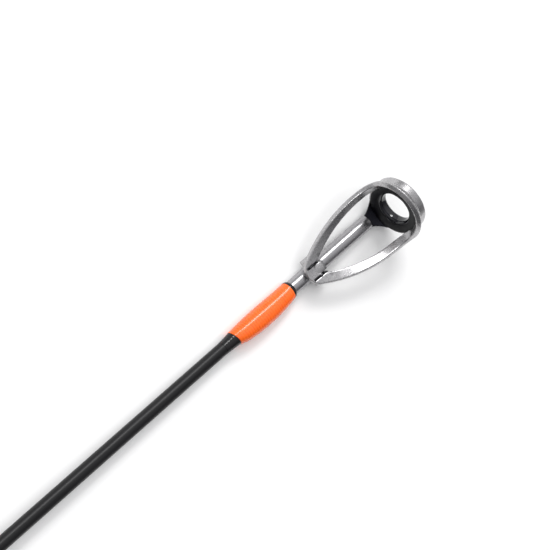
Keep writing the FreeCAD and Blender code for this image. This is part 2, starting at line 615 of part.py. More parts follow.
# ---- Guides --------------------------------------------------------------------------------------------
class Guide:
    """A pressed guide: an egg-shaped strip whose narrow end sits on the rod and whose wide end rims the
    ring, a hoop that holds the ring, and a neck below it. The strip is an egg cut from sheet, bent up by an
    arc near the ring, and dished so that its outer edge stands higher."""

    def __init__(self, ring_x, ring_size, height, lean, apex_x, apex_height, leg_slope, strip):
        self.size = ring_size
        self.hoop_in = ring_size / 2
        self.hoop_out = ring_size / 2 + HOOP_WALL
        tilt = math.radians(lean)
        self.centre = V(ring_x, 0, height)
        self.axis = V(math.cos(tilt), 0, -math.sin(tilt))
        self.rise = V(math.sin(tilt), 0, math.cos(tilt))
        self.strip = strip
        self.apex = V(apex_x, 0, apex_height)
        self.slope = math.radians(leg_slope)
        self.rim_r = self.hoop_out + STRIP_RIM * SHEET
        self.lay_out_profile(tilt)

    def lay_out_profile(self, tilt):
        """Side view of the sheet: a straight leg, a bend, and a straight face behind the ring."""
        self.face = math.pi / 2 - tilt
        self.bend_r = STRIP_BEND * self.hoop_out
        behind = self.centre - self.axis * (HOOP_WIDTH / 2 + STRIP_BEHIND)
        leg = V(math.cos(self.slope), 0, math.sin(self.slope))
        across = leg.x * self.rise.z - leg.z * self.rise.x
        gap = behind - self.apex
        to_corner = (gap.x * self.rise.z - gap.z * self.rise.x) / across
        corner = self.apex + leg * to_corner
        self.tangent = self.bend_r * math.tan((self.face - self.slope) / 2)
        self.leg_length = to_corner - self.tangent
        self.bend_length = self.bend_r * (self.face - self.slope)
        self.corner = corner
        self.bend_centre = self.apex + leg * self.leg_length + V(-leg.z, 0, leg.x) * self.bend_r
        self.eye_at = self.leg_length + self.bend_length + (behind - corner).dot(self.rise) - self.tangent

    def on_sheet(self, along):
        """Point of the side view at that distance from the apex, and the sheet's slope there."""
        if along <= self.leg_length:
            return self.apex + V(math.cos(self.slope), 0, math.sin(self.slope)) * along, self.slope
        if along <= self.leg_length + self.bend_length:
            angle = self.slope + (along - self.leg_length) / self.bend_r
            return self.bend_centre + V(math.sin(angle), 0, -math.cos(angle)) * self.bend_r, angle
        rest = along - self.leg_length - self.bend_length
        return self.corner + self.rise * (self.tangent + rest), self.face

    def egg(self, steps=(4, 6, 6)):
        """Centreline of the strip on the flat sheet, from the apex round one side to the far end of the
        ring: three tangent arcs. Gives (along, side, outward normal) for each section."""
        apex_r, side_r = self.strip["apex_r"], self.strip["side_r"]
        eye_r = self.rim_r
        span = self.eye_at - apex_r
        to_apex, to_eye = side_r - apex_r, side_r - eye_r
        side_at = apex_r + (to_apex**2 - to_eye**2 + span**2) / (2 * span)
        side_off = math.sqrt(to_apex**2 - (side_at - apex_r) ** 2)
        first = math.acos((side_at - apex_r) / to_apex)
        second = math.acos((side_at - self.eye_at) / to_eye)
        arcs = (
            (apex_r, 0.0, apex_r, 0.0, first),
            (side_at, -side_off, side_r, first, second),
            (self.eye_at, 0.0, eye_r, second, math.pi),
        )
        found = []
        for (along, side, radius, start, end), count in zip(arcs, steps):
            for i in range(count):
                angle = start + (end - start) * i / count
                normal = (-math.cos(angle), math.sin(angle))
                found.append((along + radius * normal[0], side + radius * normal[1], normal))
        found.append((self.eye_at + eye_r, 0.0, (1.0, 0.0)))
        return found

    def section(self, along, side, normal):
        """Rectangle across the strip."""
        point, slope = self.on_sheet(along)
        centre = V(point.x, side, point.z)
        up = V(-math.sin(slope), 0, math.cos(slope))
        outward = V(normal[0] * math.cos(slope), normal[1], normal[0] * math.sin(slope))
        share = min(1.0, max(0.0, along / self.eye_at))
        dish = math.radians(self.strip["dish"][0] + (self.strip["dish"][1] - self.strip["dish"][0]) * share)
        width = self.strip["width"][0] + (self.strip["width"][1] - self.strip["width"][0]) * share
        across = outward * math.cos(dish) + up * math.sin(dish)
        through = up * math.cos(dish) - outward * math.sin(dish)
        half, deep = across * (width / 2), through * (SHEET / 2)
        corners = [centre - half - deep, centre + half - deep, centre + half + deep, centre - half + deep]
        return Part.makePolygon(corners + [corners[0]])

    def legs(self):
        """The whole strip, from one lofted half and its mirror image."""
        half = Part.makeLoft([self.section(*station) for station in self.egg()], True)
        return half.fuse(half.mirror(ORIGIN, V(0, 1, 0)))

    def around_axis(self, x0, x1, radius):
        """Cylinder on the ring's axis between two distances from the ring's centre."""
        return Part.makeCylinder(radius, x1 - x0, self.centre + self.axis * x0, self.axis)

    def hoop(self):
        """Band that holds the ring."""
        return self.around_axis(-HOOP_WIDTH / 2, HOOP_WIDTH / 2, self.hoop_out)

    def ring_space(self):
        """Room for the shock ring and the ceramic ring."""
        return self.around_axis(-HOOP_WIDTH / 2 - SHEET / 2, HOOP_WIDTH, self.hoop_in)

    def neck(self, root, root_half_width, end):
        """Strip that runs from root to the hoop's rear edge (end -1) or front edge (end 1), and widens into
        the curve of the hoop's wall."""
        middle_r = (self.hoop_in + self.hoop_out) / 2
        edge = self.centre - self.rise * middle_r + self.axis * (end * HOOP_WIDTH / 2)
        heading = (edge - root).normalize()
        spread = NECK_SPREAD * middle_r
        sag = middle_r - math.sqrt(middle_r**2 - spread**2)
        inward = self.axis * (-end * HOOP_WIDTH / 3)
        half_sheet, half_wall = NECK_SHEET / 2, HOOP_WALL / 3
        stations = (
            (root, heading, root_half_width, half_sheet, sag / 20),
            (root + (edge - root) * NECK_WAIST, heading, root_half_width, half_sheet, sag / 20),
            (edge, self.axis * -end, spread, half_wall, sag),
            (edge + inward, self.axis * -end, spread, half_wall, sag),
        )
        return Part.makeLoft([bowed_strip(*station) for station in stations], True)

    def turned_on_axis(self, *path):
        """Solid of revolution about the ring's axis, at the ring's centre."""
        shape = turned(*path)
        turn = FreeCAD.Rotation(X_AXIS, self.axis)
        shape.Placement = FreeCAD.Placement(self.centre, turn)
        return shape

    def radii(self):
        """(ring bore, ring outside) of the ceramic ring."""
        outside = self.hoop_in - SHOCK_RING_WALL * self.size
        return outside - CERAMIC_WALL * self.size, outside

    def ceramic(self):
        """Polished ring with a rounded bore that the line runs over."""
        bore, outside = self.radii()
        half, land = CERAMIC_WIDTH / 2, CERAMIC_LAND / 2
        crown = bore + CROWN_SHARE * (outside - bore)
        lip = bore + LIP_SHARE * (outside - bore)
        shoulder = land + SHOULDER_SHARE * (half - land)
        return self.turned_on_axis(
            (-land, bore),
            (land, bore),
            ((shoulder, lip), (half, crown)),
            (half, outside),
            (-half, outside),
            (-half, crown),
            ((-shoulder, lip), (-land, bore)),
        )

    def shock_ring(self):
        """Black ring between the ceramic and the hoop, with a lip over the ceramic's rear face."""
        bore, outside = self.radii()
        half = CERAMIC_WIDTH / 2
        lip = (bore + outside) / 2
        back = -HOOP_WIDTH / 2 - SHOCK_RING_PROUD
        return self.turned_on_axis(
            (-half, outside),
            (half + SHOCK_LIP, outside),
            (half + SHOCK_LIP, self.hoop_in),
            (back, self.hoop_in),
            (-half - SHOCK_LIP, lip),
            (-half, lip),
        )


def bowed_strip(centre, forward, half_width, half_depth, sag):
    """Section across a strip, square to the direction forward: its long sides are arcs that bow downwards
    by the sag."""
    down = V(forward.z, 0, -forward.x) if forward.x > 0 else V(-forward.z, 0, forward.x)
    side = V(0, half_width, 0)
    low, high = centre + down * half_depth, centre - down * half_depth
    lift = down * -sag
    return Part.Wire(
        [
            Part.Arc(low - side + lift, low, low + side + lift).toShape(),
            Part.LineSegment(low + side + lift, high + side + lift).toShape(),
            Part.Arc(high + side + lift, high, high - side + lift).toShape(),
            Part.LineSegment(high - side + lift, low - side + lift).toShape(),
        ]
    )


def tip_guide():
    """The tip guide's strip, hoop and neck, and where they sit."""
    ring_x, apex_x = X_TIP + TIP_RING_AT, X_TIP + TIP_APEX_AT
    apex_height = TIP_TUBE_R + TIP_APEX_LIFT
    return Guide(
        ring_x, TIP_RING_SIZE, TIP_RING_HEIGHT, TIP_LEAN, apex_x, apex_height, TIP_LEG_SLOPE, TIP_STRIP
    )


def tip_tube():
    """Drawn tube that slips over the blank's spigot and takes the frame's neck at its front end."""
    x0, x1 = X_TIP - TIP_TUBE_UNDER_WRAP, X_TIP + TIP_TUBE_END
    edge = TIP_TUBE_EDGE
    return turned(
        (x0, TIP_TUBE_BORE_R),
        (x0, TIP_TUBE_R - edge),
        (x0 + edge, TIP_TUBE_R),
        (x1 - edge, TIP_TUBE_R),
        (x1, TIP_TUBE_R - edge),
        (x1, TIP_TUBE_BORE_R),
    )


def tube_outline():
    """The tip tube's outside as one solid."""
    return rod_along_x(X_TIP - TIP_TUBE_UNDER_WRAP, X_TIP + TIP_TUBE_END, TIP_TUBE_R)


def tip_frame(guide):
    """Tip guide frame: strip, hoop, neck with a plug in the tube, and the slit saddle brazed over the tube."""
    tube_end = X_TIP + TIP_TUBE_END
    plug = rod_along_x(tube_end - TIP_PLUG, tube_end + NECK_SHEET, TIP_TUBE_BORE_R - GLUE)
    neck = guide.neck(V(tube_end, 0, 0), TIP_TUBE_BORE_R, -1)
    x0, x1 = X_TIP + TIP_SADDLE_BACK, X_TIP + TIP_SADDLE_FRONT
    top = TIP_TUBE_R + TIP_APEX_LIFT + SHEET / 2
    saddle = rod_along_x(x0, x1, TIP_SADDLE_R, z=top - TIP_SADDLE_R).common(above(TIP_SADDLE_LOW, x0, x1))
    frame = guide.legs().fuse([guide.hoop(), neck, plug, saddle])
    slit_y = SLIT_SHARE * TIP_TUBE_R
    for y in (-slit_y, slit_y):
        low, high = y - TIP_SLIT_WIDTH / 2, y + TIP_SLIT_WIDTH / 2
        frame = frame.cut(block(x1 - TIP_SLIT_LENGTH, x1 + SHEET, low, high, 0, 3 * TIP_TUBE_R))
    tube_space = rod_along_x(X_TIP, tube_end, TIP_TUBE_R)
    frame = frame.cut(tube_space.cut(plug))
    return frame.cut(guide.ring_space()).removeSplitter()


def tip_wrap(keep_out):
    """Barrel-shaped thread wrap over the end of the tube and the blank. Its finish has sagged to one side."""
    back, length = X_TIP - TIP_WRAP_LENGTH, TIP_WRAP_LENGTH - TIP_TRIM_FRONT
    circles = [
        Part.Wire(Part.makeCircle(TIP_TUBE_R + proud, V(back + share * length, -sag, 0), X_AXIS))
        for share, proud, sag in TIP_WRAP_STATIONS
    ]
    return Part.makeLoft(circles, True).cut(keep_out)


def tip_trim_wraps(keep_out):
    """Black trim thread at each end of the tip wrap, under the same finish: a long flare that runs out on the
    blank, and a short bead on the tube."""
    back = X_TIP - TIP_WRAP_LENGTH
    toe = back - TIP_TRIM_BACK
    toe_r, back_r = blank_radius(toe) + TIP_TRIM_THIN, TIP_TUBE_R + TIP_WRAP_STATIONS[0][1] - TIP_TRIM_THIN
    middle = ((toe + back) / 2, toe_r + FLARE_MIDDLE * (back_r - toe_r))
    flare = turned((toe, 0), (toe, toe_r), (middle, (back, back_r)), (back, 0))
    near = X_TIP - TIP_TRIM_FRONT
    near_r, front_r = TIP_TUBE_R + TIP_WRAP_STATIONS[-1][1] - TIP_TRIM_THIN, TIP_TUBE_R + TIP_TRIM_THIN
    middle = ((near + X_TIP) / 2, front_r + BEAD_MIDDLE * (near_r - front_r))
    bead = turned((near, 0), (near, near_r), (middle, (X_TIP, front_r)), (X_TIP, 0))
    return Part.makeCompound([flare.cut(keep_out), bead.cut(keep_out)])


class WrappedGuide(Guide):
    """A double-foot guide at a share of the bare blank, with its feet and the wraps that hold them."""

    def __init__(self, share, ring_size, height, reach, side_r):
        x = X_BARE + share * (X_TIP - X_BARE)
        apex_x = x - reach
        apex_height = blank_radius(apex_x) + GUIDE_APEX_LIFT
        meets = height - LEG_MEETS * ring_size
        slope = math.degrees(math.atan2(meets - apex_height, reach))
        strip = dict(GUIDE_STRIP, side_r=side_r)
        super().__init__(x, ring_size, height, GUIDE_LEAN, apex_x, apex_height, slope, strip)
        lowest = self.centre - self.rise * self.hoop_out
        self.rear_root = apex_x + FOOT_ROOT
        self.front_root = lowest.x + HOOP_WIDTH / 2 + FRONT_FOOT_AHEAD

    def foot(self, root, way, blank):
        """Foot that tapers in width and thickness to its toe, hollowed to sit on the blank."""
        sections = []
        for x, half, thick in (
            (root, FOOT_HALF_WIDTH, FOOT_THICKNESS),
            (root + way * FOOT_LENGTH, FOOT_TOE_HALF_WIDTH, FOOT_TOE_THICKNESS),
        ):
            low, top = blank_radius(x) - FOOT_UNDER, blank_radius(x) + thick
            side = blank_radius(x) + thick / 2
            corners = [V(x, -half, side), V(x, -half, low), V(x, half, low), V(x, half, side)]
            outline = Part.makePolygon(corners).Edges
            outline.append(Part.Arc(corners[-1], V(x, 0, top), corners[0]).toShape())
            sections.append(Part.Wire(outline))
        return Part.makeLoft(sections, True, True).cut(blank)

    def frame(self, blank):
        """Strip, hoop, neck down to the front foot, and both feet."""
        start = V(self.front_root + NECK_SHEET, 0, blank_radius(self.front_root) + FOOT_THICKNESS / 3)
        neck = self.neck(start, FOOT_HALF_WIDTH, 1)
        feet = [self.foot(self.rear_root, -1, blank), self.foot(self.front_root, 1, blank)]
        frame = self.legs().fuse([self.hoop(), neck] + feet)
        return frame.cut([self.ring_space(), blank]).removeSplitter()

    def wraps(self, frame, blank):
        """The two wraps that hold the feet."""
        past = FOOT_LENGTH + WRAP_PAST_TOE
        rear_near = self.rear_root - FOOT_ROOT - FREE_GAP
        front_near = self.front_root + FREE_GAP
        rear = thread_wrap(self.rear_root - past, rear_near, FOOT_THICKNESS, [blank, frame])
        front = thread_wrap(self.front_root + past, front_near, FOOT_THICKNESS, [blank, frame])
        return Part.makeCompound([rear, front])


# ---- Assembly ------------------------------------------------------------------------------------------
def build():
    """Fills NODES with every sub-part."""
    blank = blank_outline()
    NODES.update(
        blank_butt_section=blank_butt_section(),
        blank_tip_section=blank_tip_section(),
        splice_wrap=splice_wrap(blank),
        butt_cap=butt_cap(),
        butt_trim_ring=butt_trim_ring(),
        rear_grip_corks=rear_grip_corks(),
        seat_collar=seat_collar(),
        seat_arbors=seat_arbors(),
        threaded_barrel=threaded_barrel(),
        seat_body=seat_body(),
        fixed_hood=fixed_hood(),
        fixed_hood_liner=fixed_hood_liner(),
        sliding_hood=sliding_hood(),
        sliding_hood_liner=sliding_hood_liner(),
        nut_snap_ring=snap_ring(),
        lock_nut=lock_nut(),
        fore_grip_corks=fore_grip_corks(),
        winding_check=winding_check(),
        hook_keeper=hook_keeper(),
    )
    keeper = NODES["hook_keeper"]
    reach = KEEPER_LOOP_R + KEEPER_BEND_R
    middle = X_BARE + KEEPER_AHEAD
    NODES["hook_keeper_wraps"] = Part.makeCompound(
        [
            thread_wrap(
                middle + side * (reach + KEEPER_FOOT + WRAP_PAST_TOE),
                middle + side * (reach + FREE_GAP),
                2 * KEEPER_WIRE_R,
                [blank, keeper],
            )
            for side in (-1, 1)
        ]
    )
    for number, sizes in enumerate(GUIDES, start=1):
        guide = WrappedGuide(*sizes)
        frame = guide.frame(blank)
        NODES[f"guide_{number}_frame"] = frame
        NODES[f"guide_{number}_shock_ring"] = guide.shock_ring()
        NODES[f"guide_{number}_ring"] = guide.ceramic()
        NODES[f"guide_{number}_wraps"] = guide.wraps(frame, blank)
    tip = tip_guide()
    tube = tip_tube()
    NODES.update(
        tip_tube=tube,
        tip_frame=tip_frame(tip),
        tip_shock_ring=tip.shock_ring(),
        tip_ring=tip.ceramic(),
        tip_wrap=tip_wrap([tube_outline(), blank]),
        tip_trim_wraps=tip_trim_wraps([tube_outline(), blank]),
    )


def export():
    """Writes one STEP per node and prints what was made."""
    os.makedirs("parts", exist_ok=True)
    for name, shape in sorted(NODES.items()):
        if not shape.isValid():
            print("NOT VALID:", name)
        shape.exportStep(f"parts/{name}.step")
        box = shape.optimalBoundingBox()
        print(
            f"{name:22s} solids {len(shape.Solids):2d}  volume {shape.Volume:10.2f}"
            f"  x {box.XMin:7.2f} {box.XMax:7.2f}  z {box.ZMin:6.2f} {box.ZMax:6.2f}"
        )


build()
export()
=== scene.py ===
"""Dresses the packed ice fishing rod for a render.

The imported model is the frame: every station along the rod is read from its nodes' boxes, and every new
piece rides on one of its bodies. Lengths are in millimetres until a mesh is written, and X runs from the
butt to the tip, Z up through the guides, and Y sideways.
"""

import logging
import math
from dataclasses import dataclass
from enum import Enum
from typing import Dict, List, Sequence, Tuple, Union

import bmesh
import bpy
import numpy as np
from mathutils import Matrix, Vector


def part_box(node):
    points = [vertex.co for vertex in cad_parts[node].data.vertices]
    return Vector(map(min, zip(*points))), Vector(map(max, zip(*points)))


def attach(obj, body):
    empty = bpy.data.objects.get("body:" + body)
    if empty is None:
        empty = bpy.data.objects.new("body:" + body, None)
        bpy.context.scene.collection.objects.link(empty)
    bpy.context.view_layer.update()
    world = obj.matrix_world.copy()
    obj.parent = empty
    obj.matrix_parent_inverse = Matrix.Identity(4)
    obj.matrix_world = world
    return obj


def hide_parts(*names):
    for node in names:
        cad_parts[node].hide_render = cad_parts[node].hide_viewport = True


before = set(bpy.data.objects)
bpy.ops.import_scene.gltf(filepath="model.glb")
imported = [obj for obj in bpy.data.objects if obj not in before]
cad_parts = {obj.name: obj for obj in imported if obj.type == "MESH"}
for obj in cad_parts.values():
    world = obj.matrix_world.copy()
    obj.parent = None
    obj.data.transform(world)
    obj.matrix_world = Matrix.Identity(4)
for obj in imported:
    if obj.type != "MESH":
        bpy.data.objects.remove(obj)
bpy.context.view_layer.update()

LOG = logging.getLogger("ice_rod")
MM = 0.001
POLE = 1e-4  # mm, points closer than this are one point
CREASE = math.radians(38.0)  # sharper edges than this keep a hard line in the shading
TURN = 2.0 * math.pi

Array = np.ndarray
Point = Tuple[float, float]
Socket = bpy.types.NodeSocket
Inputs = Union[Dict[object, object], Sequence[object]]
# Noise whose lumps are one step of its space wide
NOISE = {"Scale": 1.0, "Detail": 2.0, "Roughness": 0.55}


class Body(Enum):
    """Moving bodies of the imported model."""

    ROD = "rod"
    HOOD = "hood"
    NUT = "nut"


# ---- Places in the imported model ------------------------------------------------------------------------
@dataclass(frozen=True)
class Place:
    """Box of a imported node, in millimetres."""

    low: Array
    high: Array

    @classmethod
    def of(cls, node: str) -> "Place":
        """Reads a node's box.

        Args:
            node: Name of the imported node.

        Returns:
            Its place.
        """
        low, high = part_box(node)
        return cls(np.array(low) / MM, np.array(high) / MM)

    @property
    def back(self) -> float:
        """Lowest X."""
        return float(self.low[0])

    @property
    def front(self) -> float:
        """Highest X."""
        return float(self.high[0])

    @property
    def radius(self) -> float:
        """Half its width in Y."""
        return float(self.high[1] - self.low[1]) / 2.0

    @property
    def centre(self) -> Array:
        """Middle of the box."""
        return (self.low + self.high) / 2.0


# ---- Surfaces ------------------------------------------------------------------------------------------
@dataclass(frozen=True)
class Skin:
    """Closed surface of quads, in millimetres, with optional marks on its points."""

    points: Array
    quads: Array
    marks: Tuple[Tuple[str, Array], ...] = ()

    @classmethod
    def from_grid(cls, grid: Array, ring: bool = False, wrap: bool = True, **marks: Array) -> "Skin":
        """Joins a grid of points, row to row and column to column, into quads.

        Args:
            grid: Points, rows by columns by 3.
            ring: Whether the last row joins the first.
            wrap: Whether the last column joins the first.
            marks: Arrays of the grid's shape, kept as named values on the points.

        Returns:
            The surface.
        """
        rows, columns = grid.shape[:2]
        index = np.arange(rows * columns).reshape(rows, columns)
        if ring:
            index = np.vstack([index, index[:1]])
        if wrap:
            index = np.hstack([index, index[:, :1]])
        quads = np.stack([index[:-1, :-1], index[1:, :-1], index[1:, 1:], index[:-1, 1:]], -1)
        kept = tuple((name, values.ravel()) for name, values in marks.items())
        return cls(grid.reshape(-1, 3), quads.reshape(-1, 4), kept)

    @classmethod
    def lofted(cls, sections: Array) -> "Skin":
        """Closed surface through a row of closed sections, with each end filled to its middle."""
        first = np.broadcast_to(sections[0].mean(0), sections[0].shape)[None]
        last = np.broadcast_to(sections[-1].mean(0), sections[-1].shape)[None]
        return cls.from_grid(np.concatenate([first, sections, last]))

    def moved(self, matrix: Array, origin: Array) -> "Skin":
        """The surface turned by a 3 by 3 matrix and then shifted to origin."""
        return Skin(self.points @ matrix.T + origin, self.quads, self.marks)

    def __add__(self, other: "Skin") -> "Skin":
        """Both surfaces as one, without their marks."""
        quads = np.vstack([self.quads, other.quads + len(self.points)])
        return Skin(np.vstack([self.points, other.points]), quads)

    def mesh(self, name: str, scale: float = MM) -> bpy.types.Mesh:
        """Writes the surface as a mesh with its poles closed and its faces turned outwards.

        Args:
            name: Name of the mesh.
            scale: Metres for each unit of the points.

        Returns:
            The mesh.
        """
        mesh = bpy.data.meshes.new(name)
        mesh.from_pydata((self.points * scale).tolist(), [], self.quads.tolist())
        for mark, values in self.marks:
            layer = mesh.attributes.new(mark, "FLOAT", "POINT")
            layer.data.foreach_set("value", values.astype(np.float32))
        close_and_face_out(mesh, POLE * scale)
        return mesh


def close_and_face_out(mesh: bpy.types.Mesh, distance: float) -> None:
    """Merges points closer than distance and turns every face outwards."""
    work = bmesh.new()
    work.from_mesh(mesh)
    bmesh.ops.remove_doubles(work, verts=work.verts, dist=distance)
    bmesh.ops.dissolve_degenerate(work, edges=work.edges, dist=distance / 10.0)
    bmesh.ops.recalc_face_normals(work, faces=work.faces)
    work.to_mesh(mesh)
    work.free()


def smooth_step(value: Array) -> Array:
    """0 below 0, 1 above 1, and the curve 3v squared less 2v cubed between."""
    held = np.clip(value, 0.0, 1.0)
    return held * held * (3.0 - 2.0 * held)


def outline(corners: Sequence[Sequence[float]], closed: bool = False, steps: int = 5) -> Array:
    """Outline with rounded corners.

    Each corner is (x, r) or (x, r, rounding). A rounded corner becomes a parabola that leaves both its
    sides at the rounding's distance, or at a bit under half a side where that is less.

    Args:
        corners: The corners, in order.
        closed: Whether the last corner joins the first.
        steps: Points for each rounded corner.

    Returns:
        Points, n by 2.
    """
    at = np.array([corner[:2] for corner in corners], float)
    count = len(at)
    found: List[Array] = []
    share = np.linspace(0.0, 1.0, steps)[:, None]
    for i, corner in enumerate(corners):
        rounding = corner[2] if len(corner) > 2 else 0.0
        if rounding == 0.0 or (not closed and i in (0, count - 1)):
            found.append(at[i : i + 1])
            continue
        before, after = at[i - 1] - at[i], at[(i + 1) % count] - at[i]
        reach = min(rounding, 0.49 * np.linalg.norm(before), 0.49 * np.linalg.norm(after))
        start = at[i] + before / np.linalg.norm(before) * reach
        end = at[i] + after / np.linalg.norm(after) * reach
        found.append((1 - share) ** 2 * start + 2 * share * (1 - share) * at[i] + share**2 * end)
    return np.vstack(found)


def divided(path: Array, longest: float) -> Array:
    """The path with its long stretches divided, so that no stretch is longer than the limit."""
    pieces = [path[:1]]
    for start, end in zip(path[:-1], path[1:]):
        count = max(1, int(math.ceil(np.linalg.norm(end - start) / longest)))
        pieces.append(start + (end - start) * (np.arange(1, count + 1) / count)[:, None])
    return np.vstack(pieces)


def around(count: int) -> Array:
    """Angles of a full turn, from the top towards +Y."""
    return np.arange(count) * TURN / count


def lathe(path: Array, columns: int = 128, ring: bool = False) -> Skin:
    """Surface of revolution about X: each point (x, r) is carried round a circle of radius r."""
    return Skin.from_grid(polar(path[:, 0], np.repeat(path[:, 1:], columns, 1), columns), ring)


def polar(x: Array, radius: Array, columns: int) -> Array:
    """Grid of points round the X axis: (x, radius sin a, radius cos a)."""
    angle = around(columns)[None]
    along = np.broadcast_to(x[:, None], radius.shape)
    return np.stack([along, radius * np.sin(angle), radius * np.cos(angle)], -1)


def arc_through(start: Point, middle: Point, end: Point, count: int) -> Array:
    """Points of the circle's arc through three points."""
    a, b, c = (np.array(p, float) for p in (start, middle, end))
    left = np.array([b - a, c - b])
    centre = np.linalg.solve(2.0 * left, [b @ b - a @ a, c @ c - b @ b])
    angles = [math.atan2(p[1] - centre[1], p[0] - centre[0]) for p in (a, b, c)]
    turns = np.unwrap(angles)
    angle = np.linspace(turns[0], turns[2], count)
    radius = np.linalg.norm(a - centre)
    return centre + radius * np.stack([np.cos(angle), np.sin(angle)], -1)


def welded(skins: Sequence[Skin], voxel: float, smoothing: int) -> bpy.types.Mesh:
    """Welds overlapping closed surfaces into one, with small fillets where they meet.

    The surfaces are rebuilt on a grid of the voxel's size, and every point then moves half way to its
    neighbours' middle, as many times as asked.

    Args:
        skins: The closed surfaces.
        voxel: Size of the grid, in millimetres.
        smoothing: How many times the points move.

    Returns:
        The welded mesh, in metres.
    """
    whole = skins[0]
    for skin in skins[1:]:
        whole = whole + skin
    rough = bpy.data.objects.new("rough", whole.mesh("rough", 1.0))
    bpy.context.scene.collection.objects.link(rough)
    remesh = rough.modifiers.new("Weld", "REMESH")
    remesh.mode, remesh.voxel_size, remesh.adaptivity = "VOXEL", voxel, 0.0
    relax = rough.modifiers.new("Fillet", "SMOOTH")
    relax.factor, relax.iterations = 0.5, smoothing
    bpy.context.view_layer.update()
    evaluated = rough.evaluated_get(bpy.context.evaluated_depsgraph_get())
    mesh = bpy.data.meshes.new_from_object(evaluated)
    bpy.data.objects.remove(rough)
    mesh.transform(Matrix.Scale(MM, 4))
    close_and_face_out(mesh, POLE * MM)
    return mesh


# ---- Finishes ------------------------------------------------------------------------------------------
def linear(colour: str) -> Tuple[float, float, float, float]:
    """Linear colour of an sRGB one.

    Args:
        colour: Six hexadecimal digits after a hash.

    Returns:
        Red, green, blue and an alpha of 1.
    """
    shares = [int(colour[i : i + 2], 16) / 255.0 for i in (1, 3, 5)]
    red, green, blue = (s / 12.92 if s <= 0.04045 else ((s + 0.055) / 1.055) ** 2.4 for s in shares)
    return red, green, blue, 1.0


class Graph:
    """Builds a node tree, with patterns measured in millimetres of the object's own space."""

    def __init__(self, tree: bpy.types.NodeTree) -> None:
        """Empties the tree."""
        self.tree = tree
        tree.nodes.clear()

    def add(self, kind: str, inputs: Inputs = (), **settings: object) -> bpy.types.Node:
        """Adds a node with its settings and links.

        Args:
            kind: Node's type name, after "ShaderNode".
            inputs: Value, hexadecimal colour or socket for each input, in order, or by name or number.
            settings: The node's own settings.

        Returns:
            The node.
        """
        node = self.tree.nodes.new("ShaderNode" + kind)
        for key, value in settings.items():
            setattr(node, key, value)
        for key, value in inputs.items() if isinstance(inputs, dict) else enumerate(inputs):
            if isinstance(value, bpy.types.NodeSocket):
                self.tree.links.new(value, node.inputs[key])
            else:
                node.inputs[key].default_value = linear(value) if isinstance(value, str) else value
        return node

    def space(self, *size: float) -> Socket:
        """Object coordinates counted in steps of size millimetres along X, Y and Z.

        Args:
            size: The step along each axis.

        Returns:
            The coordinates.
        """
        place = self.add("TexCoord").outputs["Object"]
        return self.add("Mapping", {"Vector": place, "Scale": [1.0 / (s * MM) for s in size]}).outputs[0]

    def winding(self, pitch: float) -> Socket:
        """Ridges of a thread wound about the X axis: (1 + sin(2 pi x / pitch + angle)) / 2.

        Args:
            pitch: Distance from ridge to ridge, in millimetres.

        Returns:
            The ridges, from 0 to 1.
        """
        parts = self.add("SeparateXYZ", [self.space(pitch, pitch, pitch)]).outputs
        angle = self.add("Math", parts[1:3], operation="ARCTAN2").outputs[0]
        turns = self.add("Math", (angle, 1.0 / TURN, parts[0]), operation="MULTIPLY_ADD").outputs[0]
        phase = self.add("Math", (turns, TURN), operation="MULTIPLY").outputs[0]
        wave = self.add("Math", [phase], operation="SINE").outputs[0]
        return self.add("Math", (wave, 0.5, 0.5), operation="MULTIPLY_ADD").outputs[0]


@dataclass(frozen=True)
class Finish:
    """A material, its constant values, and the record's slot that it belongs to."""

    name: str
    slot: str
    colour: str
    roughness: float
    metallic: float = 0.0
    ior: float = 1.5
    coat: float = 0.0
    coat_roughness: float = 0.03
    coat_ior: float = 1.5

    def material(self) -> bpy.types.Material:
        """The Blender material, made the first time that it is asked for."""
        found = bpy.data.materials.get(self.name)
        if found is not None:
            return found
        made = bpy.data.materials.new(self.name)
        made.use_nodes = True
        graph = Graph(made.node_tree)
        constants: Dict[object, object] = {
            "Base Color": self.colour,
            "Metallic": self.metallic,
            "Roughness": self.roughness,
            "Coat Weight": self.coat,
            "Coat Roughness": self.coat_roughness,
            "Coat IOR": self.coat_ior,
        }
        if self.metallic == 0.0:
            constants["IOR"] = self.ior
        shader = graph.add("BsdfPrincipled", constants)
        graph.add("OutputMaterial", {"Surface": shader.outputs[0]})
        for name, socket in self.pattern(graph).items():
            graph.tree.links.new(socket, shader.inputs[name])
        return made

    def pattern(self, graph: Graph) -> Dict[str, Socket]:
        """Sockets that vary over the surface, by the shader input that they feed."""
        return {}


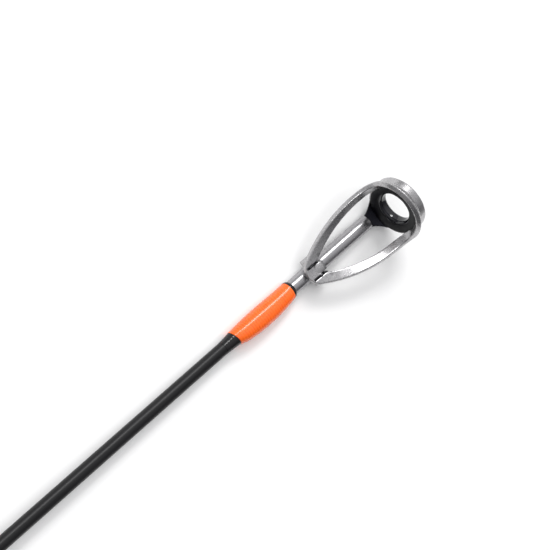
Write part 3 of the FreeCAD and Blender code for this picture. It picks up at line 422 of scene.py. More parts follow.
@dataclass(frozen=True)
class WoundThread(Finish):
    """Rod winding thread under a clear epoxy finish. The coat is smooth and the thread shows through it."""

    # Colour of the painted shade in the grooves between strands
    shade: str = "#000000"
    pitch: float = 0.42  # size D thread is about 0.25 mm; drawn coarser so that the lines show

    def pattern(self, graph: Graph) -> Dict[str, Socket]:
        """Painted shade in the grooves at the strands' edges, in patches of uneven dye, and the relief of the
        strands.

        Args:
            graph: The material's node tree.

        Returns:
            Sockets by shader input.
        """
        ridge = graph.winding(self.pitch)
        dye = graph.add("TexNoise", {**NOISE, "Vector": graph.space(0.9, 0.5, 0.5)}).outputs[0]
        strand = graph.add("TexNoise", {**NOISE, "Vector": graph.space(0.08, 0.6, 0.6)}).outputs[0]
        edges = graph.add("MapRange", (ridge, 0.0, 0.6, 1.0, 0.0)).outputs[0]
        uneven = graph.add("MapRange", (dye, 0.35, 0.7, 0.0, 1.0)).outputs[0]
        # Painted shade in the grooves between strands, in patches
        painted_groove_shade = graph.add("Math", (edges, uneven), operation="MULTIPLY").outputs[0]
        relief = graph.add("Math", (strand, 0.3, ridge), operation="MULTIPLY_ADD").outputs[0]
        base = graph.add("Mix", {0: painted_groove_shade, 6: self.colour, 7: self.shade}, data_type="RGBA").outputs[2]
        return {
            "Base Color": base,
            "Normal": graph.add("Bump", {"Strength": 0.6, "Distance": 0.02 * MM, "Height": relief}).outputs[0],
        }


@dataclass(frozen=True)
class CarbonFibre(Finish):
    """Unsanded carbon fibre blank with a thin satin varnish."""

    tape: float = 1.6
    lighter: str = "#161618"

    def pattern(self, graph: Graph) -> Dict[str, Socket]:
        """Fibres that run along X, and a faint spiral left by the tape that the blank was rolled under.

        Args:
            graph: The material's node tree.

        Returns:
            Sockets by shader input.
        """
        long = {**NOISE, "Vector": graph.space(14.0, 0.12, 0.12), "Detail": 3.0, "Roughness": 0.6}
        fibre = graph.add("TexNoise", long).outputs[0]
        light = graph.add("MapRange", (fibre, 0.3, 0.7, 0.0, 1.0)).outputs[0]
        dull = (fibre, 0.25, 0.75, self.roughness - 0.06, self.roughness + 0.08)
        tape = graph.winding(self.tape)
        relief = graph.add("Math", (tape, 0.25, fibre), operation="MULTIPLY_ADD").outputs[0]
        base = graph.add("Mix", {0: light, 6: self.colour, 7: self.lighter}, data_type="RGBA").outputs[2]
        return {
            "Base Color": base,
            "Roughness": graph.add("MapRange", dull).outputs[0],
            "Normal": graph.add("Bump", {"Strength": 0.5, "Distance": 0.012 * MM, "Height": relief}).outputs[0],
        }


@dataclass(frozen=True)
class TumbledSteel(Finish):
    """Stamped stainless steel sheet, tumbled until its edges are dull and its faces finely dented."""

    grain: float = 0.16
    depth: float = 0.014
    shade: str = "#969596"
    # Dark colour laid by the braze mark: brazed metal, painted shade and a painted dark reflection
    scorched_and_shaded: str = "#26262C"

    def pattern(self, graph: Graph) -> Dict[str, Socket]:
        """Dents of the tumbling stones, duller patches, fine scratches, and the dark colour laid by the points'
        mark: brazed metal with a painted dark reflection on the neck, painted shade in the slits, and braze
        with painted shade on the saddle's front.

        Args:
            graph: The material's node tree.

        Returns:
            Sockets by shader input.
        """
        stones = {**NOISE, "Vector": graph.space(*(self.grain,) * 3), "Detail": 4.0, "Roughness": 0.7}
        dent = graph.add("TexNoise", stones).outputs[0]
        patch = graph.add("TexNoise", {**NOISE, "Vector": graph.space(1.1, 1.1, 1.1)}).outputs[0]
        scratch = graph.add("TexNoise", {**NOISE, "Vector": graph.space(0.9, 0.05, 0.05)}).outputs[0]
        # Mark on the points: braze with a painted dark reflection on the neck, painted shade in the slits,
        # braze and painted shade on the saddle's front
        braze_and_shade = graph.add("Attribute", attribute_name="braze_and_shade").outputs["Fac"]
        light = graph.add("MapRange", (dent, 0.3, 0.7, 0.0, 1.0)).outputs[0]
        clean = graph.add("Mix", {0: light, 6: self.shade, 7: self.colour}, data_type="RGBA").outputs[2]
        dull = (patch, 0.3, 0.7, self.roughness - 0.07, self.roughness + 0.09)
        relief = graph.add("Math", (scratch, 0.3, dent), operation="MULTIPLY_ADD").outputs[0]
        bump = {"Strength": 0.8, "Distance": self.depth * MM, "Height": relief}
        base = graph.add("Mix", {0: braze_and_shade, 6: clean, 7: self.scorched_and_shaded}, data_type="RGBA").outputs[2]
        return {
            "Base Color": base,
            "Roughness": graph.add("MapRange", dull).outputs[0],
            "Normal": graph.add("Bump", bump).outputs[0],
        }


@dataclass(frozen=True)
class DrawnSteel(Finish):
    """Drawn stainless steel tube or wire, with the die's fine lines along it."""

    def pattern(self, graph: Graph) -> Dict[str, Socket]:
        """Lines along X and a few duller patches.

        Args:
            graph: The material's node tree.

        Returns:
            Sockets by shader input.
        """
        long = {**NOISE, "Vector": graph.space(2.5, 0.06, 0.06), "Detail": 3.0, "Roughness": 0.6}
        line = graph.add("TexNoise", long).outputs[0]
        patch = graph.add("TexNoise", {**NOISE, "Vector": graph.space(1.4, 0.7, 0.7)}).outputs[0]
        dull = (patch, 0.3, 0.7, self.roughness - 0.06, self.roughness + 0.08)
        return {
            "Roughness": graph.add("MapRange", dull).outputs[0],
            "Normal": graph.add("Bump", {"Strength": 0.6, "Distance": 0.006 * MM, "Height": line}).outputs[0],
        }


@dataclass(frozen=True)
class PolishedOxide(Finish):
    """Dark titania ceramic, ground and then polished where the line runs."""

    hazy: str = "#10111C"

    def pattern(self, graph: Graph) -> Dict[str, Socket]:
        """Slight haze left by the polish.

        Args:
            graph: The material's node tree.

        Returns:
            Sockets by shader input.
        """
        fine = {**NOISE, "Vector": graph.space(0.35, 0.35, 0.35), "Detail": 3.0}
        haze = graph.add("TexNoise", fine).outputs[0]
        share = graph.add("MapRange", (haze, 0.35, 0.7, 0.0, 1.0)).outputs[0]
        dull = (haze, 0.3, 0.75, self.roughness - 0.03, self.roughness + 0.05)
        base = graph.add("Mix", {0: share, 6: self.colour, 7: self.hazy}, data_type="RGBA").outputs[2]
        return {
            "Base Color": base,
            "Roughness": graph.add("MapRange", dull).outputs[0],
        }


@dataclass(frozen=True)
class MouldedPlastic(Finish):
    """Moulded plastic or rubber with the mould's fine spark-eroded grain."""

    grain: float = 0.12
    depth: float = 0.01
    lighter: str = "#2E2E30"

    def pattern(self, graph: Graph) -> Dict[str, Socket]:
        """Grain of the mould and a broad change of gloss.

        Args:
            graph: The material's node tree.

        Returns:
            Sockets by shader input.
        """
        spark = {**NOISE, "Vector": graph.space(*(self.grain,) * 3), "Detail": 3.0, "Roughness": 0.6}
        grain = graph.add("TexNoise", spark).outputs[0]
        broad = graph.add("TexNoise", {**NOISE, "Vector": graph.space(7.0, 7.0, 7.0)}).outputs[0]
        light = graph.add("MapRange", (grain, 0.35, 0.75, 0.0, 0.7)).outputs[0]
        dull = (broad, 0.3, 0.7, self.roughness - 0.06, self.roughness + 0.06)
        bump = {"Strength": 0.7, "Distance": self.depth * MM, "Height": grain}
        base = graph.add("Mix", {0: light, 6: self.colour, 7: self.lighter}, data_type="RGBA").outputs[2]
        return {
            "Base Color": base,
            "Roughness": graph.add("MapRange", dull).outputs[0],
            "Normal": graph.add("Bump", bump).outputs[0],
        }


@dataclass(frozen=True)
class TurnedAluminium(Finish):
    """Aluminium turned on a lathe, then anodised and dyed."""

    feed: float = 0.22  # the lathe's feed is nearer 0.1 mm; drawn coarser so that the lines show

    def pattern(self, graph: Graph) -> Dict[str, Socket]:
        """Turning lines about X and a fine speckle of the oxide.

        Args:
            graph: The material's node tree.

        Returns:
            Sockets by shader input.
        """
        line = graph.winding(self.feed)
        fine = {**NOISE, "Vector": graph.space(0.2, 0.2, 0.2), "Detail": 3.0}
        speck = graph.add("TexNoise", fine).outputs[0]
        dull = (speck, 0.3, 0.7, self.roughness - 0.05, self.roughness + 0.08)
        relief = graph.add("Math", (speck, 0.6, line), operation="MULTIPLY_ADD").outputs[0]
        return {
            "Roughness": graph.add("MapRange", dull).outputs[0],
            "Normal": graph.add("Bump", {"Strength": 0.5, "Distance": 0.006 * MM, "Height": relief}).outputs[0],
        }


@dataclass(frozen=True)
class NaturalCork(Finish):
    """Glued cork rings, turned and sanded. Pits and glue lines are marked on the points."""

    mottled: str = "#B98A5A"
    growth_line: str = "#8E5F38"
    speckle: str = "#7A4E2C"
    in_pit: str = "#4A2E1B"
    glue_line: str = "#7B5A3C"

    def pattern(self, graph: Graph) -> Dict[str, Socket]:
        """Mottled cork with darker growth lines, brown pits, and thin glue lines.

        Each layer's colour covers the ones before by its own share.

        Args:
            graph: The material's node tree.

        Returns:
            Sockets by shader input.
        """
        lumps = {**NOISE, "Vector": graph.space(1.6, 0.9, 0.9), "Detail": 4.0, "Roughness": 0.65}
        grains = {**NOISE, "Vector": graph.space(0.25, 0.2, 0.2), "Detail": 3.0, "Roughness": 0.6}
        bands = {**NOISE, "Vector": graph.space(6.0, 0.5, 3.0), "Detail": 3.0}
        mottle, fine, growth = (graph.add("TexNoise", inputs).outputs[0] for inputs in (lumps, grains, bands))
        pit, glue = (graph.add("Attribute", attribute_name=name).outputs["Fac"] for name in ("pit", "glue"))
        layers = (
            ((mottle, 0.3, 0.7, 0.0, 1.0), self.mottled),
            ((growth, 0.5, 0.8, 0.0, 0.5), self.growth_line),
            ((fine, 0.58, 0.8, 0.0, 0.7), self.speckle),
            ((pit, 0.02, 0.5, 0.0, 0.92), self.in_pit),
            ((glue, 0.2, 1.0, 0.0, 0.55), self.glue_line),
        )
        base: object = self.colour
        for cover, colour in layers:
            share = graph.add("MapRange", cover).outputs[0]
            base = graph.add("Mix", {0: share, 6: base, 7: colour}, data_type="RGBA").outputs[2]
        dull = (fine, 0.3, 0.7, self.roughness - 0.08, self.roughness + 0.06)
        relief = graph.add("Math", (mottle, 0.5, fine), operation="MULTIPLY_ADD").outputs[0]
        return {
            "Base Color": base,
            "Roughness": graph.add("MapRange", dull).outputs[0],
            "Normal": graph.add("Bump", {"Strength": 0.6, "Distance": 0.06 * MM, "Height": relief}).outputs[0],
        }


@dataclass(frozen=True)
class RigidFoam(Finish):
    """Cut rigid foam with open cells."""

    cell: float = 0.5
    in_cell: str = "#8F8568"

    def pattern(self, graph: Graph) -> Dict[str, Socket]:
        """Cells of about half a millimetre.

        Args:
            graph: The material's node tree.

        Returns:
            Sockets by shader input.
        """
        scattered = {"Vector": graph.space(*(self.cell,) * 3), "Scale": 1.0}
        cell = graph.add("TexVoronoi", scattered).outputs["Distance"]
        share = graph.add("MapRange", (cell, 0.1, 0.6, 0.0, 1.0)).outputs[0]
        base = graph.add("Mix", {0: share, 6: self.in_cell, 7: self.colour}, data_type="RGBA").outputs[2]
        return {
            "Base Color": base,
            "Normal": graph.add("Bump", {"Strength": 0.8, "Distance": 0.12 * MM, "Height": cell}).outputs[0],
        }


# Nylon thread wound wet with epoxy, turned slowly while it cured so that its coat is glossy and level
# Each thread's shade colour is painted shade, laid in the grooves between its strands
ORANGE_THREAD = WoundThread(
    "Orange winding thread under epoxy", "orange_thread", "#FF6A12", 0.6,
    ior=1.25, coat=0.9, coat_roughness=0.19, shade="#F0520F",
)
BLACK_THREAD = WoundThread(
    "Black winding thread under epoxy", "black_thread", "#0C0B0D", 0.6,
    ior=1.25, coat=0.6, coat_roughness=0.12, shade="#050505",
)
# Carbon prepreg rolled on a mandrel, cured, and dipped in a thin satin varnish
BLANK = CarbonFibre(
    "Satin varnished carbon fibre", "graphite_blank", "#09090A", 0.42,
    ior=1.36, coat=0.06, coat_roughness=0.22,
)
# Stamped 304 sheet, brazed and then tumbled
FRAME_STEEL = TumbledSteel("Tumbled stainless sheet", "stainless_steel", "#C8C7C8", 0.27, metallic=1.0)
# Cold drawn and left bright
TUBE_STEEL = DrawnSteel("Drawn stainless tube", "stainless_steel", "#A9A8AA", 0.26, metallic=1.0)
WIRE_STEEL = DrawnSteel("Drawn stainless wire", "stainless_steel", "#BDBCBA", 0.2, metallic=1.0)
LINER_STEEL = DrawnSteel("Pressed stainless liner sheet", "liner_steel", "#B4B3B0", 0.3, metallic=1.0)
# Sintered, ground and diamond polished
CERAMIC = PolishedOxide("Polished dark titania ceramic", "ceramic_ring", "#07070C", 0.09, ior=1.6)
# Injection moulded
SHOCK = MouldedPlastic(
    "Moulded black polyamide ring", "shock_nylon", "#07070A", 0.34,
    ior=1.36, grain=0.1, depth=0.006, lighter="#0D0D14",
)
SEAT_PLASTIC = MouldedPlastic(
    "Moulded glass-filled polyamide", "seat_nylon", "#131315", 0.42,
    ior=1.53, grain=0.35, depth=0.015, lighter="#29292C",
)
# Compression moulded, with a dull skin
RUBBER = MouldedPlastic(
    "Moulded black rubber", "butt_rubber", "#161617", 0.6, ior=1.52, grain=0.3, depth=0.03, lighter="#2A2A2B"
)
# Bark rings glued on the blank, turned and sanded
CORK = NaturalCork("Sanded natural cork", "cork", "#D2A878", 0.78, ior=1.45)
# Turned from bar, then anodised and dyed
ORANGE_ALUMINIUM = TurnedAluminium(
    "Orange anodised turned aluminium", "orange_anodised", "#E8561A", 0.3, metallic=1.0
)
BLACK_ALUMINIUM = TurnedAluminium(
    "Black anodised turned aluminium", "black_anodised", "#26262A", 0.32, metallic=1.0
)
# Cast in a block and cut to rings
FOAM = RigidFoam("Cut rigid polyurethane foam", "arbor_foam", "#CFC49A", 0.9, ior=1.45)


# ---- Pieces --------------------------------------------------------------------------------------------
def show(
    surface: Union[Skin, bpy.types.Mesh],
    finish: Finish,
    node: str,
    body: Body = Body.ROD,
    crease: float = CREASE,
) -> bpy.types.Object:
    """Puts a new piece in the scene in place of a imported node.

    Args:
        surface: Its surface in millimetres, or a finished mesh in metres.
        finish: Its finish.
        node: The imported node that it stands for.
        body: The body that it rides on.
        crease: Angle in radians above which an edge stays hard.

    Returns:
        The object.
    """
    name = "dressed_" + node
    mesh = surface.mesh(name) if isinstance(surface, Skin) else surface
    mesh.polygons.foreach_set("use_smooth", np.ones(len(mesh.polygons), bool))
    mesh.set_sharp_from_angle(angle=crease)
    mesh.materials.append(finish.material())
    piece = bpy.data.objects.new(name, mesh)
    bpy.context.scene.collection.objects.link(piece)
    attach(piece, body.value)
    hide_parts(node)
    LOG.info("%s: %d faces for %s on %s, %s", name, len(mesh.polygons), node, body.value, finish.name)
    return piece


def paint(node: str, finish: Finish) -> None:
    """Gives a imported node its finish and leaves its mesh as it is."""
    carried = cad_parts[node]
    carried.data.materials.clear()
    carried.data.materials.append(finish.material())
    LOG.info("%s: packed mesh, %s", node, finish.name)


@dataclass(frozen=True)
class BlankShape:
    """Outside of the blank along X, as packed."""

    butt_radius: float
    splice_radius: float
    socket_radius: float
    bare: float
    splice: float
    wall: float = 0.55
    glue: float = 0.02
    taper: float = 0.0013  # loss of the tip's radius for each millimetre

    @classmethod
    def read(cls) -> "BlankShape":
        """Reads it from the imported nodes."""
        butt, tip = Place.of("blank_butt_section"), Place.of("blank_tip_section")
        outside = tip.radius + cls.glue + cls.wall
        return cls(butt.radius, outside, tip.radius, Place.of("winding_check").front, butt.front)

    def radius(self, x: Union[float, Array]) -> Array:
        """Outside radius at x: parallel in the handle, tapered to the splice, and again to the tip."""
        stations = (self.bare, self.splice, self.splice + POLE)
        radius = np.interp(x, stations, (self.butt_radius, self.splice_radius, self.socket_radius))
        return radius - self.taper * np.maximum(np.asarray(x) - self.splice, 0.0)


def thread(x: Array, radius: Array, inner: Array, aside: Array, pitch: float, lines: float) -> Skin:
    """Thread wound about the X axis under a clear finish, as a closed tube.

    The outside's radius is the given one, less lines times (1 - sin(2 pi x / pitch + angle)) / 2, which is
    what still shows of the strands through the finish.

    Args:
        x: Stations.
        radius: Outside radius at each station.
        inner: Inside radius at each station.
        aside: Y and Z of the outside's middle at each station, n by 2.
        pitch: Distance from strand to strand.
        lines: Depth of the lines between strands.

    Returns:
        The surface.
    """
    columns = 80
    angle = around(columns)[None]
    relief = lines * (1.0 - np.sin(TURN * x[:, None] / pitch + angle)) / 2.0
    outside = polar(x, radius[:, None] - relief, columns)
    outside[..., 1:] += aside[:, None]
    inside = polar(x[::-1], np.repeat(inner[::-1, None], columns, 1), columns)
    return Skin.from_grid(np.concatenate([outside, inside]), ring=True)


@dataclass
class Blank:
    """Hollow butt section, solid tip section, and the wrap over their splice."""

    shape: BlankShape
    layer: float = 0.28
    edge: float = 0.07
    chamfer: float = 0.8
    pitch: float = 0.42  # two strands of thread drawn as one so that the lines show
    lines: float = 0.01
    socket_depth: float = 25.0
    spigot_step: float = 0.045

    def build(self) -> None:
        """Makes the three pieces."""
        butt, tip, tube = (Place.of(n) for n in ("blank_butt_section", "blank_tip_section", "tip_tube"))
        shape, socket = self.shape, self.shape.socket_radius + self.shape.glue
        bottom = shape.splice - self.socket_depth
        path = outline(
            [
                (butt.back, shape.butt_radius - shape.wall),
                (shape.bare, shape.butt_radius - shape.wall),
                (bottom, max(socket, float(shape.radius(bottom)) - shape.wall)),
                (bottom + 1.0, socket),
                (butt.front, socket),
                (butt.front, shape.splice_radius, 0.1),
                (shape.bare, shape.butt_radius),
                (butt.back, shape.butt_radius, 0.2),
            ],
            closed=True,
        )
        show(lathe(divided(path, 6.0), 72, ring=True), BLANK, "blank_butt_section")
        step = tube.back - 0.3
        spigot = float(shape.radius(Place.of("tip_trim_wraps").front)) - self.spigot_step
        path = outline(
            [
                (tip.back, 0.0),
                (tip.back, tip.radius, 0.1),
                (shape.splice, tip.radius),
                (step, float(shape.radius(step)), 0.05),
                (tube.back, spigot, 0.05),
                (tip.front, spigot, 0.1),
                (tip.front, 0.0),
            ]
        )
        show(lathe(divided(path, 3.0), 72), BLANK, "blank_tip_section")
        self.splice_wrap(Place.of("splice_wrap"))

    def splice_wrap(self, place: Place) -> None:
        """Black wrap that runs down over the step at the splice."""
        shape = self.shape
        path = outline(
            [
                (place.back, shape.radius(place.back) + self.edge),
                (place.back + self.chamfer, shape.radius(place.back) + self.layer, 0.5),
                (shape.splice, shape.splice_radius + self.layer, 1.2),
                ((shape.splice + place.front) / 2.0, shape.socket_radius + 2.0 * self.layer, 1.5),
                (place.front - self.chamfer, shape.radius(place.front) + self.layer, 0.5),
                (place.front, shape.radius(place.front) + self.edge),
            ],
        )
        x = np.arange(place.back, place.front, self.pitch / 6.0)
        radius = np.interp(x, path[:, 0], path[:, 1])
        skin = thread(x, radius, shape.radius(x), np.zeros((len(x), 2)), self.pitch, self.lines)
        show(skin, BLACK_THREAD, "splice_wrap", crease=math.pi)


# ---- Handle --------------------------------------------------------------------------------------------
@dataclass
class CorkGrip:
    """A grip turned from glued cork rings, with sanded-open pits and glue lines."""

    node: str
    back_radius: float
    front_radius: float
    swell: float
    rings: int
    bore: float
    seed: int
    back: float
    front: float
    pits_per_cm2: float = 3.2
    tenon_radius: float = 0.0
    tenon_length: float = 0.0
    spacing: float = 0.32
    columns: int = 300
    glue_half: float = 0.16
    glue_sink: float = 0.04
    unevenness: float = 0.03
    end_chamfer: float = 0.12
    deepest: float = 0.5

    def side(self) -> Array:
        """Points of the turned side, an arc through its two ends and its swollen middle."""
        middle = (self.back_radius + self.front_radius) / 2.0 + self.swell
        count = int((self.front - self.back) / self.spacing)
        ends = (self.back, self.back_radius), (self.front, self.front_radius)
        return arc_through(ends[0], ((self.back + self.front) / 2.0, middle), ends[1], count)

    def pits(self, x: Array, angle: Array, radius: float) -> Array:
        """Depth of the pits in millimetres.

        Each pit is a bowl: its depth times (1 - q) squared, where q is the squared distance from its middle
        in a turned ellipse. The deepest pit wins.
        """
        chance = np.random.default_rng(self.seed)
        area = (self.front - self.back) * TURN * radius / 100.0
        depth = np.zeros(np.broadcast(x, angle).shape)
        for _ in range(int(area * self.pits_per_cm2)):
            at = chance.uniform(self.back + 1.0, self.front - 1.0)
            toward, tilt = chance.uniform(0.0, TURN), chance.normal(math.pi / 2.0, 0.5)
            long = chance.uniform(0.35, 1.0) ** 2 * 1.9
            short, deep = chance.uniform(0.25, 0.55), chance.uniform(0.15, self.deepest)
            along = x - at
            across = ((angle - toward + math.pi) % TURN - math.pi) * radius
            u = along * math.cos(tilt) + across * math.sin(tilt)
            v = across * math.cos(tilt) - along * math.sin(tilt)
            q = np.clip(1.0 - (u / long) ** 2 - (v / short) ** 2, 0.0, 1.0)
            depth = np.maximum(depth, deep * q * q)
        return depth

    def build(self) -> None:
        """Makes the grip."""
        side = self.side()
        x, radius = side[:, :1], side[:, 1:]
        angle = around(self.columns)[None]
        mean = float(radius.mean())
        pit = self.pits(x, angle, mean)
        step = (self.front - self.back) / self.rings
        seam = np.abs((x - self.back + step / 2.0) % step - step / 2.0)
        inside = (x > self.back + 1.0) & (x < self.front - 1.0)
        glue = np.where(inside, np.exp(-((seam / self.glue_half) ** 2)), 0.0) * np.ones_like(angle)
        uneven = self.unevenness * (1.0 + np.sin(5.0 * angle + 0.21 * x) * np.sin(2.0 * angle - 0.13 * x))
        outside = radius - pit - self.glue_sink * glue - uneven
        start: List[Point] = [(self.back, self.bore)]
        if self.tenon_radius:
            toe = self.back - self.tenon_length
            start = [(toe, self.bore), (toe, self.tenon_radius), (self.back, self.tenon_radius)]
        start.append((self.back, self.back_radius - self.end_chamfer))
        end = [(self.front, self.front_radius - self.end_chamfer), (self.front, self.bore)]
        first, last = (np.repeat(np.array(ends)[:, :, None], self.columns, 2) for ends in (start, end))
        grid_x = np.concatenate([first[:, 0, 0], x[:, 0], last[:, 0, 0]])
        grid_radius = np.vstack([first[:, 1], outside, last[:, 1]])
        pad = ((len(start), len(end)), (0, 0))
        grid = polar(grid_x, grid_radius, self.columns)
        skin = Skin.from_grid(grid, ring=True, pit=np.pad(pit / self.deepest, pad), glue=np.pad(glue, pad))
        show(skin, CORK, self.node)


@dataclass
class Handle:
    """Butt cap, trim ring, both grips and the winding check."""

    shape: BlankShape
    tenon_radius: float = 8.6
    tenon_glue: float = 0.02
    cap_round: float = 4.2
    cap_pocket: float = 7.5
    groove_half: float = 0.45
    groove_depth: float = 0.35
    groove_places: Tuple[float, float] = (4.4, 2.6)  # behind the cap's front
    check_lip: float = 0.8
    check_edge: float = 1.0

    def build(self) -> None:
        """Makes every piece of the handle."""
        bore = self.shape.butt_radius
        cap, trim = Place.of("butt_cap"), Place.of("butt_trim_ring")
        rear, fore = Place.of("rear_grip_corks"), Place.of("fore_grip_corks")
        collar, check = Place.of("seat_collar"), Place.of("winding_check")
        self.cap(cap)
        pocket = self.tenon_radius + self.tenon_glue
        path = outline(
            [
                (trim.back, pocket),
                (trim.back, trim.radius, 0.6),
                (trim.front, trim.radius, 0.6),
                (trim.front, pocket),
            ],
            closed=True,
        )
        show(lathe(path, 160, ring=True), ORANGE_ALUMINIUM, "butt_trim_ring")
        tenon = trim.front - rear.back
        CorkGrip(
            "rear_grip_corks", cap.radius, collar.radius, 0.85, 7, bore, 11, trim.front, rear.front,
            tenon_radius=self.tenon_radius, tenon_length=tenon,
        ).build()
        CorkGrip(
            "fore_grip_corks", fore.radius, check.radius, 1.1, 3, bore, 23, fore.back, fore.front,
            spacing=0.25, columns=240,
        ).build()
        front, lip = bore + self.check_edge, check.back + self.check_lip
        middle = ((lip + check.front) / 2.0, 0.4 * check.radius + 0.6 * front)
        side = arc_through((lip, check.radius), middle, (check.front, front), 9)
        path = np.vstack([[(check.front, bore), (check.back, bore), (check.back, check.radius)], side])
        show(lathe(path, 96, ring=True), BLACK_ALUMINIUM, "winding_check")

    def cap(self, place: Place) -> None:
        """Rubber cap with a round edge, a flat face, and two shallow grooves round its side."""
        r, grooves = place.radius, []
        half, low = self.groove_half, place.radius - self.groove_depth
        for back in self.groove_places:
            x = place.front - back
            grooves += [(x - half, r, 0.2), (x - 0.2, low, 0.12), (x + 0.2, low, 0.12), (x + half, r, 0.2)]
        quarter = np.linspace(0.0, math.pi / 2.0, 14)
        bend_x = place.back + self.cap_round * (1.0 - np.sin(quarter))
        bend = np.stack([bend_x, r - self.cap_round * (1.0 - np.cos(quarter))], -1)
        pocket, floor = self.tenon_radius + self.tenon_glue, place.front - self.cap_pocket
        start = (place.back + self.cap_round + 0.5, r)
        side = [start, *grooves, (place.front, r, 0.25), (place.front, pocket)]
        path = np.vstack([[(place.back, 0.0)], bend[::-1], outline(side), [(floor, pocket), (floor, 0.0)]])
        show(lathe(path, 160), RUBBER, "butt_cap")


